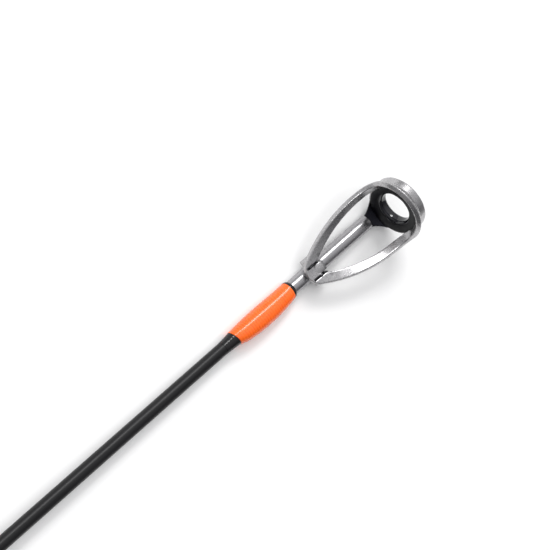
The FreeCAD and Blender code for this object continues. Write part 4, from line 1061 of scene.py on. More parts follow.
# ---- Reel seat -----------------------------------------------------------------------------------------
@dataclass
class ReelSeat:
    """Collar, threaded barrel, seat body, both hoods, and the knurled nut."""

    bore: float = 5.4
    deck: float = 6.2
    under_hood: float = 5.9
    keyway_half: float = 1.4
    keyway_floor: float = 6.6
    pitch: float = 1.5
    depth: float = 0.55
    pocket_radius: float = 6.291
    pocket_depth: float = 11.0
    liner: float = 0.4
    roof: float = 1.5
    columns: int = 240
    grooves: int = 30
    groove_radius: float = 0.42
    groove_out: float = 0.12
    groove_steps: int = 16
    rim: float = 0.6
    crest: float = 0.28  # share of the pitch that each flank of the thread takes
    blend: float = 0.5
    plain_bore: float = 7.52
    thread_bore: float = 7.6
    blank_hole: Tuple[float, float] = (3.3, 4.0)  # radius and length of the fixed hood's end over the blank
    ring_pocket: Tuple[float, float] = (8.55, 3.1)  # the same of the sliding hood's end over the nut's neck
    nut_gap: float = 0.2
    nut_neck: float = 8.45

    def build(self) -> None:
        """Makes every piece of the seat."""
        collar = Place.of("seat_collar")
        inside = BlankShape.read().butt_radius
        path = outline(
            [
                (collar.back, inside),
                (collar.back, collar.radius, 0.15),
                (collar.front, collar.radius, 0.55),
                (collar.front, inside),
            ],
            closed=True,
        )
        show(lathe(path, 160, ring=True), BLACK_ALUMINIUM, "seat_collar")
        self.barrel()
        self.body()
        self.hood("fixed_hood", Place.of("fixed_hood").back, Place.of("fixed_hood").front, Body.ROD)
        self.hood("sliding_hood", Place.of("sliding_hood").front, Place.of("sliding_hood").back, Body.HOOD)
        self.nut()
        for node in ("fixed_hood_liner", "sliding_hood_liner"):
            paint(node, LINER_STEEL)
        paint("nut_snap_ring", WIRE_STEEL)
        paint("seat_arbors", FOAM)

    def trimmed(self, grid: Array, flat: Array) -> Array:
        """Grid with everything above the flat's height cut away, and the keyway cut at the bottom."""
        height = np.minimum(grid[..., 2], flat[:, None])
        in_key = (np.abs(grid[..., 1]) < self.keyway_half) & (height < 0.0)
        grid[..., 2] = np.where(in_key, np.maximum(height, -self.keyway_floor), height)
        return grid

    def tube(self, x: Array, outer: Array, flat: Array) -> Skin:
        """Closed tube: the trimmed outside, and a plain bore back along the inside."""
        ends = np.array([x[-1], x[0]])
        outside = self.trimmed(polar(x, outer, self.columns), flat)
        inside = polar(ends, np.full((2, self.columns), self.bore), self.columns)
        return Skin.from_grid(np.concatenate([outside, inside]), ring=True)

    def barrel(self) -> None:
        """Barrel with a real helical thread.

        The radius is the root's, plus the depth times a trapezoid of the phase x / pitch - angle / turn,
        faded out over a pitch at both ends.
        """
        place = Place.of("threaded_barrel")
        x = np.linspace(place.back, place.front, int((place.front - place.back) / 0.125))
        phase = (x[:, None] / self.pitch - around(self.columns)[None] / TURN) % 1.0
        ridge = np.clip((0.4 - np.abs(phase - 0.5)) / self.crest, 0.0, 1.0)
        ends = smooth_step((np.minimum(x - place.back, place.front - x) - 0.3) / self.pitch)[:, None]
        outer = place.radius - self.depth * (1.0 - ridge * ends)
        skin = self.tube(x, outer, np.full_like(x, self.under_hood))
        show(skin, SEAT_PLASTIC, "threaded_barrel", crease=math.radians(50.0))

    def body(self) -> None:
        """Seat body with its deck, a little lower under the hoods."""
        place, hood, front = Place.of("seat_body"), Place.of("sliding_hood"), Place.of("fixed_hood")
        start, end = hood.front + 1.0, front.back - 0.3
        x = divided(np.array([(place.back, 0.0), (place.front, 0.0)]), 1.0)[:, 0]
        steps = [start - 0.001, start, end, end + 0.001]
        x = np.sort(np.concatenate([x, steps]))
        flat = np.where((x >= start) & (x <= end), self.deck, self.under_hood)
        skin = self.tube(x, np.full((len(x), self.columns), place.radius), flat)
        show(skin, SEAT_PLASTIC, "seat_body")

    def ray(self, centre: Array, radius: Array) -> Array:
        """Distance from the axis, at each angle, to a circle whose centre is that far above it."""
        angle = around(self.columns)[None]
        return centre * np.cos(angle) + np.sqrt(radius**2 - (centre * np.sin(angle)) ** 2)

    def hood(self, node: str, mouth: float, back: float, body: Body) -> None:
        """Hood: a round sleeve blended with a hump over the pocket.

        The outside at each angle is the smooth maximum of the sleeve's radius and the distance to the
        hump's circle. The hump keeps its size from the mouth to half way and then dies into the sleeve.
        The inside is the bore, and near the mouth the pocket's circle above the seat's flat.
        """
        length, way = abs(back - mouth), math.copysign(1.0, back - mouth)
        sleeve, top = Place.of(node).radius, float(Place.of(node).high[2])
        hump = self.pocket_radius + self.liner + self.roof
        lip = np.linspace(0.0, self.rim, 10)
        along = np.concatenate([lip, np.linspace(self.rim, length - self.rim, 60)[1:-1], length - lip[::-1]])
        share = np.clip((along / length - 0.5) / 0.5, 0.0, 1.0)[:, None]
        low_radius = 0.8 * sleeve
        radius = hump + (low_radius - hump) * share
        centre = (top - hump) + (sleeve - low_radius - 0.15 - (top - hump)) * share
        over = self.ray(centre, radius) - sleeve
        outer = sleeve + (over + np.sqrt(over**2 + self.blend**2) - self.blend * 0.6) / 2.0
        outer = np.minimum(outer, np.maximum(sleeve, self.ray(centre, radius)))
        edge = np.minimum(along, length - along)[:, None]
        outer -= self.rim - np.sqrt(self.rim**2 - (self.rim - np.minimum(edge, self.rim)) ** 2)
        fixed = body is Body.ROD
        bore = self.plain_bore if fixed else self.thread_bore
        hole, deep = self.blank_hole if fixed else self.ring_pocket
        plain, wide = np.full((1, self.columns), bore), np.full((1, self.columns), hole)
        circle = self.ray(np.array([[top - hump]]), np.array([[self.pocket_radius + self.liner]]))
        open_above = circle * np.cos(around(self.columns))[None] > self.under_hood
        pocket = np.where(open_above, np.maximum(circle, bore), bore)
        inner = [(length, wide), (length - deep, wide), (length - deep, plain)]
        inner += [(self.pocket_depth, plain), (self.pocket_depth, pocket), (0.0, pocket)]
        x = mouth + way * np.concatenate([along, [item[0] for item in inner]])
        grid = polar(x, np.vstack([outer] + [item[1] for item in inner]), self.columns)
        show(Skin.from_grid(grid, ring=True), SEAT_PLASTIC, node, body)

    def nut(self) -> None:
        """Nut with straight knurling.

        Each groove is a circle's arc: at an angle d from its middle, the radius is c cos d - sqrt(g squared
        - (c sin d) squared), for a cutter of radius g centred at c.
        """
        place, hood = Place.of("lock_nut"), Place.of("sliding_hood")
        shoulder, bore, neck = hood.back - self.nut_gap, self.thread_bore, self.nut_neck
        path = outline(
            [
                (place.back, bore, 0.2),
                (place.back, place.radius, 0.9),
                (shoulder, place.radius, 0.9),
                (shoulder, neck),
                (place.front, neck, 0.15),
                (place.front, bore),
            ],
            closed=True,
            steps=8,
        )
        columns = self.grooves * self.groove_steps
        cutter = place.radius + self.groove_out
        angle = around(columns)[None]
        step = TURN / self.grooves
        off = (angle + step / 2.0) % step - step / 2.0
        root = self.groove_radius**2 - (cutter * np.sin(off)) ** 2
        groove = np.where(root > 0.0, cutter * np.cos(off) - np.sqrt(np.maximum(root, 0.0)), place.radius)
        on_body = (path[:, :1] <= shoulder + POLE) & (path[:, 1:] > neck + POLE)
        radius = np.where(on_body, np.minimum(path[:, 1:], groove), path[:, 1:])
        skin = Skin.from_grid(polar(path[:, 0], radius, columns), ring=True)
        show(skin, ORANGE_ALUMINIUM, "lock_nut", Body.NUT)


# ---- Hook keeper and guide wraps -----------------------------------------------------------------------
@dataclass
class FootWrap:
    """Thread wound over the blank and a foot on its top, from out past the foot's toe to the frame."""

    shape: BlankShape
    out: float
    near: float
    foot: float
    layer: float = 0.14
    ramp: float = 1.6
    pitch: float = 0.42
    lines: float = 0.006

    def skin(self) -> Skin:
        """Rings whose middle rises by half the foot's height over the ramp."""
        length = abs(self.near - self.out)
        along = np.linspace(0.0, length, int(length / self.pitch * 6.0))
        rise = smooth_step(along / self.ramp)
        x = self.out + math.copysign(1.0, self.near - self.out) * along
        lift = self.foot / 2.0 * rise
        shoulder = 0.06 * (1.0 - np.minimum(1.0, (length - along) / 0.12)) ** 2
        radius = self.shape.radius(x) + lift + self.layer * (0.5 + 0.5 * rise) - shoulder
        aside = np.stack([np.zeros_like(lift), lift], -1)
        return thread(x, radius, self.shape.radius(x) - 0.02, aside, self.pitch, self.lines)


@dataclass
class HookKeeper:
    """Bent wire loop and the two wraps that hold its feet."""

    shape: BlankShape
    wire: float = 0.4
    loop: float = 2.6
    bend: float = 1.2
    foot: float = 5.0

    def centreline(self) -> Array:
        """Wire's path in X and Z: foot, quarter bend, half loop, quarter bend, foot."""
        middle = float(Place.of("hook_keeper").centre[0])
        base = float(Place.of("hook_keeper").low[2]) + self.wire
        top = base + self.bend
        out = self.loop + self.bend
        quarter = np.linspace(0.0, math.pi / 2.0, 12)
        rise_x = middle - out + self.bend * np.sin(quarter)
        rise = np.stack([rise_x, base + self.bend * (1.0 - np.cos(quarter))], -1)
        turn = np.linspace(math.pi, 0.0, 49)[1:-1]
        half = np.stack([self.loop * np.cos(turn), self.loop * np.sin(turn)], -1) + (middle, top)
        fall = np.stack([2 * middle - rise[::-1, 0], rise[::-1, 1]], -1)
        whole, part = (self.foot, 0.0), (self.foot / 2.0, 0.0)
        toes, heels = (rise[:1] - whole, rise[:1] - part), (fall[-1:] + part, fall[-1:] + whole)
        return np.vstack([*toes, rise, half, fall, *heels])

    def build(self) -> None:
        """Makes the wire and its wraps."""
        path = self.centreline()
        ahead = np.gradient(path, axis=0)
        ahead /= np.linalg.norm(ahead, axis=1)[:, None]
        angle = around(24)[None]
        out = np.stack([-ahead[:, 1], ahead[:, 0]], -1)
        x = path[:, :1] + self.wire * out[:, :1] * np.cos(angle)
        z = path[:, 1:] + self.wire * out[:, 1:] * np.cos(angle)
        y = np.broadcast_to(self.wire * np.sin(angle), x.shape)
        show(Skin.lofted(np.stack([x, y, z], -1)), WIRE_STEEL, "hook_keeper")
        place, middle = Place.of("hook_keeper_wraps"), float(Place.of("hook_keeper").centre[0])
        reach = self.loop + self.bend + 0.3
        pair = [
            FootWrap(self.shape, end, middle + side * reach, 2 * self.wire).skin()
            for side, end in ((-1.0, place.back), (1.0, place.front))
        ]
        show(pair[0] + pair[1], ORANGE_THREAD, "hook_keeper_wraps", crease=math.pi)


# ---- Guides --------------------------------------------------------------------------------------------
@dataclass(frozen=True)
class Strip:
    """The egg-shaped strip that a guide's legs and rim are pressed from."""

    apex_radius: float
    side_radius: float
    width: Tuple[float, float]
    dish: Tuple[float, float]
    sheet: float = 0.75


@dataclass
class GuideForm:
    """Side view and strip of a pressed guide. The ring's axis leans, and rise points up its face."""

    centre: Array
    size: float
    lean: float
    apex: Array
    slope: float
    strip: Strip
    hoop_wall: float = 0.3
    hoop_width: float = 1.9

    def __post_init__(self) -> None:
        """Lays out the sheet's side view: a straight leg, a bend, and a face behind the ring."""
        tilt = math.radians(self.lean)
        self.axis = np.array([math.cos(tilt), 0.0, -math.sin(tilt)])
        self.rise = np.array([math.sin(tilt), 0.0, math.cos(tilt)])
        self.hoop_in = self.size / 2.0
        self.hoop_out = self.hoop_in + self.hoop_wall
        self.rim = self.hoop_out + 0.15 * self.strip.sheet
        self.face = math.pi / 2.0 - tilt
        self.bend = 0.72 * self.hoop_out
        behind = self.centre - self.axis * (0.5 * self.hoop_width + 0.12)
        leg = np.array([math.cos(self.slope), 0.0, math.sin(self.slope)])
        across = leg[0] * self.rise[2] - leg[2] * self.rise[0]
        gap = behind - self.apex
        to_corner = (gap[0] * self.rise[2] - gap[2] * self.rise[0]) / across
        self.corner = self.apex + leg * to_corner
        self.tangent = self.bend * math.tan((self.face - self.slope) / 2.0)
        self.leg_length = to_corner - self.tangent
        self.bend_length = self.bend * (self.face - self.slope)
        self.bend_centre = self.apex + leg * self.leg_length + np.array([-leg[2], 0.0, leg[0]]) * self.bend
        up_face = float((behind - self.corner) @ self.rise) - self.tangent
        self.eye = self.leg_length + self.bend_length + up_face

    @property
    def turning(self) -> Array:
        """Matrix that turns X onto the ring's axis."""
        return np.stack([self.axis, np.array([0.0, 1.0, 0.0]), self.rise], -1)

    def on_sheet(self, along: Array) -> Tuple[Array, Array]:
        """Places on the side view at those distances from the apex, and the sheet's slope there."""
        bent = np.clip((along - self.leg_length) / self.bend_length, 0.0, 1.0)
        slope = self.slope + (self.face - self.slope) * bent
        straight = np.minimum(along, self.leg_length)[:, None]
        leg = np.array([math.cos(self.slope), 0.0, math.sin(self.slope)])
        zero = np.zeros_like(slope)
        bend = self.bend_centre + self.bend * np.stack([np.sin(slope), zero, -np.cos(slope)], -1)
        past = np.maximum(along - self.leg_length - self.bend_length, 0.0)[:, None]
        place = np.where(bent[:, None] > 0.0, bend, self.apex + leg * straight)
        return place + self.rise * past, slope

    def egg(self, steps: Tuple[int, int, int] = (30, 70, 80)) -> Tuple[Array, Array, Array]:
        """Strip's centreline on the flat sheet, from the apex round one side to the ring's far end.

        Three tangent arcs: the narrow end, the long side, and the ring's rim.

        Args:
            steps: Points of each arc.

        Returns:
            Distance along, distance aside, and outward normals.
        """
        apex, side, eye = self.strip.apex_radius, self.strip.side_radius, self.rim
        span = self.eye - apex
        to_apex, to_eye = side - apex, side - eye
        at = apex + (to_apex**2 - to_eye**2 + span**2) / (2.0 * span)
        off = math.sqrt(to_apex**2 - (at - apex) ** 2)
        first, second = math.acos((at - apex) / to_apex), math.acos((at - self.eye) / to_eye)
        arcs = (
            (apex, 0.0, apex, 0.0, first),
            (at, -off, side, first, second),
            (self.eye, 0.0, eye, second, math.pi),
        )
        along, aside, normals = [], [], []
        for (centre, shift, radius, start, end), count in zip(arcs, steps):
            angle = np.linspace(start, end, count, endpoint=radius is eye)
            along.append(centre - radius * np.cos(angle))
            aside.append(shift + radius * np.sin(angle))
            normals.append(np.stack([-np.cos(angle), np.sin(angle)], -1))
        return np.concatenate(along), np.concatenate(aside), np.vstack(normals)

    def legs(self) -> Skin:
        """The whole strip: rounded rectangles swept round the egg and dished towards the ring."""
        along, aside, normals = self.egg()
        place, slope = self.on_sheet(along)
        sine, cosine, zero = np.sin(slope), np.cos(slope), np.zeros_like(slope)
        up = np.stack([-sine, zero, cosine], -1)
        outward = np.stack([normals[:, 0] * cosine, normals[:, 1], normals[:, 0] * sine], -1)
        share = np.clip(along / self.eye, 0.0, 1.0)[:, None]
        dish = np.radians(self.strip.dish[0] + (self.strip.dish[1] - self.strip.dish[0]) * share)
        width = self.strip.width[0] + (self.strip.width[1] - self.strip.width[0]) * share
        across = outward * np.cos(dish) + up * np.sin(dish)
        through = up * np.cos(dish) - outward * np.sin(dish)
        centre = place + np.stack([zero, aside, zero], -1)
        half, deep = width[:, :, None] / 2.0, self.strip.sheet / 2.0
        square = outline([(-1, -1, 0.2), (1, -1, 0.2), (1, 1, 0.2), (-1, 1, 0.2)], closed=True, steps=3)
        u, v = square[None, :, :1], square[None, :, 1:]
        grid = centre[:, None] + across[:, None] * half * u + through[:, None] * deep * v
        other = grid[-2:0:-1] * np.array([1.0, -1.0, 1.0])
        return Skin.from_grid(np.concatenate([grid, other]), ring=True)

    def on_axis(self, path: Array, columns: int = 160) -> Skin:
        """Closed outline turned about the ring's axis, at the ring's centre."""
        return lathe(path, columns, ring=True).moved(self.turning, self.centre)

    def hoop(self) -> Skin:
        """Band that holds the ring, with eased edges."""
        half = self.hoop_width / 2.0
        corners = [
            (-half, self.hoop_in),
            (-half, self.hoop_out, 0.12),
            (half, self.hoop_out, 0.12),
            (half, self.hoop_in),
        ]
        return self.on_axis(outline(corners, closed=True, steps=4))

    def neck(self, root: Array, root_half: float, end: float, spread: float) -> Skin:
        """Neck from the root to the hoop's edge.

        Along it, its half width grows from the root's to the spread with the square of the distance, and
        its sides rise to follow the hoop with the cube. It ends inside the hoop's wall.

        Args:
            root: Middle of its narrow end.
            root_half: Half its width there.
            end: -1 for the hoop's rear edge, 1 for its front edge.
            spread: Half width at the hoop, as a share of the hoop's radius.

        Returns:
            The surface.
        """
        middle = (self.hoop_in + self.hoop_out) / 2.0
        edge = self.centre - self.rise * middle + self.axis * (end * self.hoop_width / 2.0)
        s = np.linspace(0.0, 1.0, 26)[:, None]
        t = np.linspace(-1.0, 1.0, 21)[None]
        angle = t * math.asin(spread)
        y = t * root_half * (1.0 - s**2.2) + middle * np.sin(angle) * s**2.2
        sag = middle * (1.0 - np.cos(angle)) * s**3
        heading = (edge - root) / np.linalg.norm(edge - root)
        down = np.array([heading[2], 0.0, -heading[0]]) * math.copysign(1.0, heading[0])
        line = root + (edge - root) * s[..., None]
        side = np.array([0.0, 1.0, 0.0])
        sheet = line + y[..., None] * side + sag[..., None] * self.rise
        thick = (0.3 - 0.16 * s**2)[..., None]
        tuck = self.axis * (-end * self.hoop_width / 2.2)
        top = np.concatenate([sheet - down * thick, (sheet - down * thick)[-1:] + tuck])
        low = np.concatenate([sheet + down * thick, (sheet + down * thick)[-1:] + tuck])
        return Skin.lofted(np.concatenate([top, low[:, ::-1]], 1))

    def ceramic(self, columns: int = 192) -> Skin:
        """Polished ring with a rounded bore."""
        outside, bore, half, land = 0.4 * self.size, 0.3 * self.size, 0.8, 0.35
        crown = bore + 0.62 * (outside - bore)
        lip = bore + 0.2 * (outside - bore)
        shoulder = land + 0.72 * (half - land)
        front = arc_through((land, bore), (shoulder, lip), (half, crown), 10)
        back = front[::-1] * (-1.0, 1.0)
        corners = [(half, crown), (half, outside, 0.08), (-half, outside, 0.08), (-half, crown)]
        rims = outline(corners, steps=4)[1:-1]
        return self.on_axis(np.vstack([front, rims, back]), columns)

    def shock(self, columns: int = 192) -> Skin:
        """Black ring between the ceramic and the hoop, with lips over both faces of the ceramic."""
        outside, bore, half = 0.4 * self.size, 0.3 * self.size, 0.8
        lip, proud = (bore + outside) / 2.0, self.hoop_width / 2.0 + 0.2
        corners = [
            (-half, outside), (half + 0.12, outside, 0.05), (half + 0.12, self.hoop_in, 0.05),
            (-proud, self.hoop_in, 0.12), (-half - 0.12, lip, 0.08), (-half, lip),
        ]
        return self.on_axis(outline(corners, closed=True, steps=5), columns)


@dataclass
class LineGuide:
    """Double-foot guide: pressed frame, shock ring, ceramic ring and two wraps."""

    number: int
    shape: BlankShape
    reach: float
    side_radius: float
    lean: float = 10.0
    foot_length: float = 8.0
    foot_height: float = 0.6
    foot_sunk: float = 0.3
    voxel: float = 0.115
    smoothing: int = 4

    def form(self) -> GuideForm:
        """Reads the ring's place and lays out the frame."""
        ring = Place.of(f"guide_{self.number}_ring")
        size = ring.radius / 0.4
        x, height = float(ring.centre[0]), float(ring.centre[2])
        apex_x = x - self.reach
        apex_z = float(self.shape.radius(apex_x)) + 0.45
        slope = math.atan2(height - 0.38 * size - apex_z, self.reach)
        strip = Strip(apex_radius=1.3, side_radius=self.side_radius, width=(1.5, 1.3), dish=(4.0, 40.0))
        return GuideForm(ring.centre, size, self.lean, np.array([apex_x, 0.0, apex_z]), slope, strip)

    def foot(self, root: float, way: float) -> Skin:
        """Foot that narrows and thins to its toe, with a rounded top."""
        share = np.linspace(0.0, 1.0, 20)
        x = root + way * self.foot_length * share
        half = 0.8 - 0.35 * share
        top = self.foot_height - 0.4 * share
        angle = np.linspace(0.0, math.pi, 15)
        base = self.shape.radius(x)[:, None]
        y = half[:, None] * np.cos(angle)
        z = base + top[:, None] * (0.35 + 0.65 * np.sin(angle))
        sides, under = np.stack([-half, half], -1), np.repeat(base - self.foot_sunk, 2, 1)
        low = np.stack([np.broadcast_to(x[:, None], sides.shape), sides, under], -1)
        arch = np.stack([np.broadcast_to(x[:, None], y.shape), y, z], -1)
        return Skin.lofted(np.concatenate([arch, low], 1))

    def build(self) -> None:
        """Makes the guide's four pieces."""
        form, n = self.form(), self.number
        lowest = form.centre - form.rise * form.hoop_out
        rear_root = form.apex[0] + 1.0
        front_root = lowest[0] + form.hoop_width / 2.0 + 1.4
        start = np.array([front_root + 0.6, 0.0, float(self.shape.radius(front_root)) + 0.25])
        skins = [
            form.legs(), form.hoop(), form.neck(start, 0.75, 1.0, 0.5),
            self.foot(rear_root, -1.0), self.foot(front_root, 1.0),
        ]
        show(welded(skins, self.voxel, self.smoothing), FRAME_STEEL, f"guide_{n}_frame")
        show(form.shock(), SHOCK, f"guide_{n}_shock_ring")
        show(form.ceramic(), CERAMIC, f"guide_{n}_ring")
        place = Place.of(f"guide_{n}_wraps")
        near = (rear_root - 1.0 - 0.3, front_root + 0.3)
        ends = zip((place.back, place.front), near)
        pair = [FootWrap(self.shape, end, stop, self.foot_height).skin() for end, stop in ends]
        show(pair[0] + pair[1], ORANGE_THREAD, f"guide_{n}_wraps", crease=math.pi)


@dataclass
class TipGuide:
    """Tip guide: tube over the blank's end, frame with a slit saddle, shock ring, ceramic ring and wraps."""

    shape: BlankShape
    lean: float = 9.0
    slope: float = 9.0
    apex_at: float = 3.0
    apex_lift: float = 0.5
    tube_wall: float = 0.2
    saddle: Tuple[float, float] = (3.2, 5.5)
    saddle_radius: float = 2.2
    saddle_low: float = 0.3
    slit_length: float = 1.25
    slit_back: float = 2.7
    slit_depth: float = 0.45
    slit_width: float = 0.26
    slit_share: float = 0.85
    neck_half: float = 3.2
    fade: float = 0.5
    # Share of the wrap's length, how far it stands above the tube, and how far it sags to one side
    stations: Tuple[Tuple[float, float, float], ...] = (
        (0.0, 0.09, 0.0), (0.12, 0.28, 0.12), (0.55, 0.52, 0.25), (0.9, 0.34, 0.14), (1.0, 0.26, 0.04),
    )
    voxel: float = 0.072
    smoothing: int = 4
    thin: float = 0.03
    slant: float = 0.5
    pitch: float = 0.42
    lines: float = 0.006

    def build(self) -> None:
        """Makes the tip guide's six pieces."""
        trim, tube, ring = Place.of("tip_trim_wraps"), Place.of("tip_tube"), Place.of("tip_ring")
        self.start, self.tube_radius, self.tube_front = trim.front, tube.radius, tube.front
        self.tube(tube)
        apex = np.array([self.start + self.apex_at, 0.0, tube.radius + self.apex_lift])
        strip = Strip(apex_radius=1.5, side_radius=23.0, width=(1.5, 1.25), dish=(8.0, 48.0))
        form = GuideForm(ring.centre, ring.radius / 0.4, self.lean, apex, math.radians(self.slope), strip)
        root = np.array([tube.front - 0.3, 0.0, 0.0])
        neck = form.neck(root, tube.radius - self.tube_wall, -1.0, 0.62)
        saddles = self.saddles(apex[2] + strip.sheet / 2.0)
        frame_mesh = welded([form.legs(), form.hoop(), neck, *saddles], self.voxel, self.smoothing)
        self.press_slits(frame_mesh, form)
        show(frame_mesh, FRAME_STEEL, "tip_frame")
        show(form.shock(), SHOCK, "tip_shock_ring")
        show(form.ceramic(), CERAMIC, "tip_ring")
        self.wraps(Place.of("tip_wrap"), trim)

    def press_slits(self, mesh: bpy.types.Mesh, form: GuideForm) -> None:
        """Sinks the two slits into the saddle, and marks where the frame's colour is darkened by braze and by
        painted shade.

        A slit runs back from the saddle's front through most of the strip. The mark is 1 on the neck, which is
        below and behind the ring from the tube's end onwards: brazed metal with a painted dark reflection. It
        is nearly 1 in the slits, as painted shade in the grooves, and less than half on the saddle's front, as
        braze with painted shade where the saddle sits on the tube.

        Args:
            mesh: The welded frame, in metres.
            form: The frame's side view.
        """
        place = np.empty(len(mesh.vertices) * 3)
        mesh.vertices.foreach_get("co", place)
        place = place.reshape(-1, 3) / MM
        x, y, z = place.T
        off = place - form.centre
        neck = (
            smooth_step((0.2 - off @ form.axis) / self.fade)
            * smooth_step((-0.72 * form.hoop_in - off @ form.rise) / self.fade)
            * smooth_step((x - self.tube_front + 0.25) / 0.3)
            * smooth_step((self.neck_half - np.abs(y)) / self.fade)
        )
        aside = np.abs(np.abs(y) - self.slit_share * self.tube_radius)
        along = x - self.start
        saddle = smooth_step((self.saddle[1] + 0.3 - along) / 0.2) * smooth_step(z / 0.3)
        slit = smooth_step(1.6 - 2.0 * aside / self.slit_width) * smooth_step((along - self.slit_back) / 0.2)
        front = smooth_step((along - self.saddle[1] + 0.5) / 0.3) * smooth_step((2.0 - np.abs(y)) / 0.3)
        # Darker colour: braze and a painted dark reflection on the neck, painted shade in the slits, braze and
        # painted shade on the saddle's front
        mark = np.maximum.reduce([neck, 0.85 * slit * saddle, 0.4 * front * saddle])
        layer = mesh.attributes.new("braze_and_shade", "FLOAT", "POINT")
        layer.data.foreach_set("value", mark.astype(np.float32))
        z -= self.slit_depth * slit * saddle
        mesh.vertices.foreach_set("co", (place * MM).ravel())
        mesh.update()

    def tube(self, place: Place) -> None:
        """Thin drawn tube with eased ends."""
        inner = place.radius - self.tube_wall
        corners = [
            (place.back, inner),
            (place.back, place.radius, 0.1),
            (place.front, place.radius, 0.1),
            (place.front, inner),
        ]
        show(lathe(divided(outline(corners, closed=True), 1.5), 96, ring=True), TUBE_STEEL, "tip_tube")

    def web(self, back: float, front: float, first: float, last: float, top: float) -> Skin:
        """Part of the saddle between two widths: round on top, and hollow below to sit on the tube."""
        y = np.linspace(first, last, 41)
        middle = top - self.saddle_radius
        high = middle + np.sqrt(np.maximum(self.saddle_radius**2 - y**2, 0.0))
        inner = self.tube_radius - 0.05
        low = np.maximum(np.sqrt(np.maximum(inner**2 - y**2, 0.0)), self.saddle_low)
        section = np.concatenate([np.stack([y, np.maximum(high, low)], -1), np.stack([y, low], -1)[::-1]])
        x = np.linspace(back, front, 12)[:, None]
        rows = (len(x), len(section))
        parts = [np.broadcast_to(part, rows) for part in (x, section[:, 0], section[:, 1])]
        return Skin.lofted(np.stack(parts, -1))

    def saddles(self, top: float) -> List[Skin]:
        """Saddle with two slits from its front: one web behind them, and three beside them."""
        back, front = self.start + self.saddle[0], self.start + self.saddle[1]
        side = math.sqrt(self.saddle_radius**2 - (self.saddle_low - top + self.saddle_radius) ** 2)
        slit, half = self.slit_share * self.tube_radius, self.slit_width / 2.0
        split = front - self.slit_length
        return [
            self.web(back, split, -side, side, top),
            self.web(split - 0.1, front, -slit + half, slit - half, top),
            self.web(split - 0.1, front, slit + half, side, top),
            self.web(split - 0.1, front, -side, -slit - half, top),
        ]

    def slanted(self, skin: Skin, back: float) -> Skin:
        """Seam between the orange and the black thread, slanted as by hand.

        Each point near the seam moves forward by the slant, times its share of the way from +Y round to -Y.
        """
        x, y, z = skin.points.T
        share = (1.0 - y / np.maximum(np.hypot(y, z), 1e-6)) / 2.0
        x += self.slant * share * np.clip(1.0 - np.abs(x - back) / (3.0 * self.slant), 0.0, 1.0)
        return skin

    def wraps(self, place: Place, trim: Place) -> None:
        """Orange wrap with a belly that sags to one side, and the black trim at both its ends.

        The wrap's radius and its sag are each the curve of the fourth degree through the five stations.
        """
        tube, back_tube = self.tube_radius, Place.of("tip_tube").back
        share, proud, sag = np.array(self.stations).T
        t = np.linspace(0.0, 1.0, 180)
        x = place.back + (place.front - place.back) * t
        radius = tube + np.polyval(np.polyfit(share, proud, 4), t)
        aside = np.stack([-np.polyval(np.polyfit(share, sag, 4), t), np.zeros_like(t)], -1)
        inner = np.where(x < back_tube, self.shape.radius(x), tube)
        skin = self.slanted(thread(x, radius, inner - 0.01, aside, self.pitch, self.lines), place.back)
        show(skin, ORANGE_THREAD, "tip_wrap", crease=math.pi)
        toe, back = float(self.shape.radius(trim.back)) + self.thin, tube + proud[0] - self.thin
        middle = ((trim.back + place.back) / 2.0, toe + 0.4 * (back - toe))
        flare = arc_through((trim.back, toe), middle, (place.back, back), 32)
        blank = self.shape.radius(flare[:, 0])
        rear = thread(flare[:, 0], flare[:, 1], blank - 0.01, np.zeros((32, 2)), self.pitch, 0.008)
        rear = self.slanted(rear, place.back)
        near, front = tube + proud[-1] - self.thin, tube + self.thin
        middle = ((place.front + trim.front) / 2.0, front + 0.8 * (near - front))
        bead = arc_through((place.front, near), middle, (trim.front, front), 12)
        under = [(trim.front, tube - 0.01), (place.front, tube - 0.01)]
        ring = lathe(np.vstack([bead, under]), 80, ring=True)
        show(rear + ring, BLACK_THREAD, "tip_trim_wraps", crease=math.pi)


# ---- Room ----------------------------------------------------------------------------------------------
@dataclass(frozen=True)
class Softbox:
    """A rectangular soft light that faces the tip, with its long side along the rod."""

    name: str
    toward: Tuple[float, float, float]
    distance: float
    size: Tuple[float, float]
    watts: float
    mirrored: bool = True  # False where a flag keeps its reflection off the shiny parts

    def build(self, target: Vector) -> None:
        """Hangs the light at its distance in metres from the target."""
        data = bpy.data.lights.new(self.name, "AREA")
        data.shape, data.energy = "RECTANGLE", self.watts
        data.size, data.size_y = self.size
        lamp = bpy.data.objects.new(self.name, data)
        way = Vector(self.toward).normalized()
        lamp.location = target + way * self.distance
        lamp.rotation_mode = "QUATERNION"
        across = way.cross(Vector((1.0, 0.0, 0.0))).normalized()
        lamp.rotation_quaternion = Matrix((across.cross(way), across, way)).transposed().to_quaternion()
        lamp.visible_camera = False
        lamp.visible_glossy = self.mirrored
        bpy.context.scene.collection.objects.link(lamp)
        LOG.info("light %s: %.2f W", self.name, self.watts)


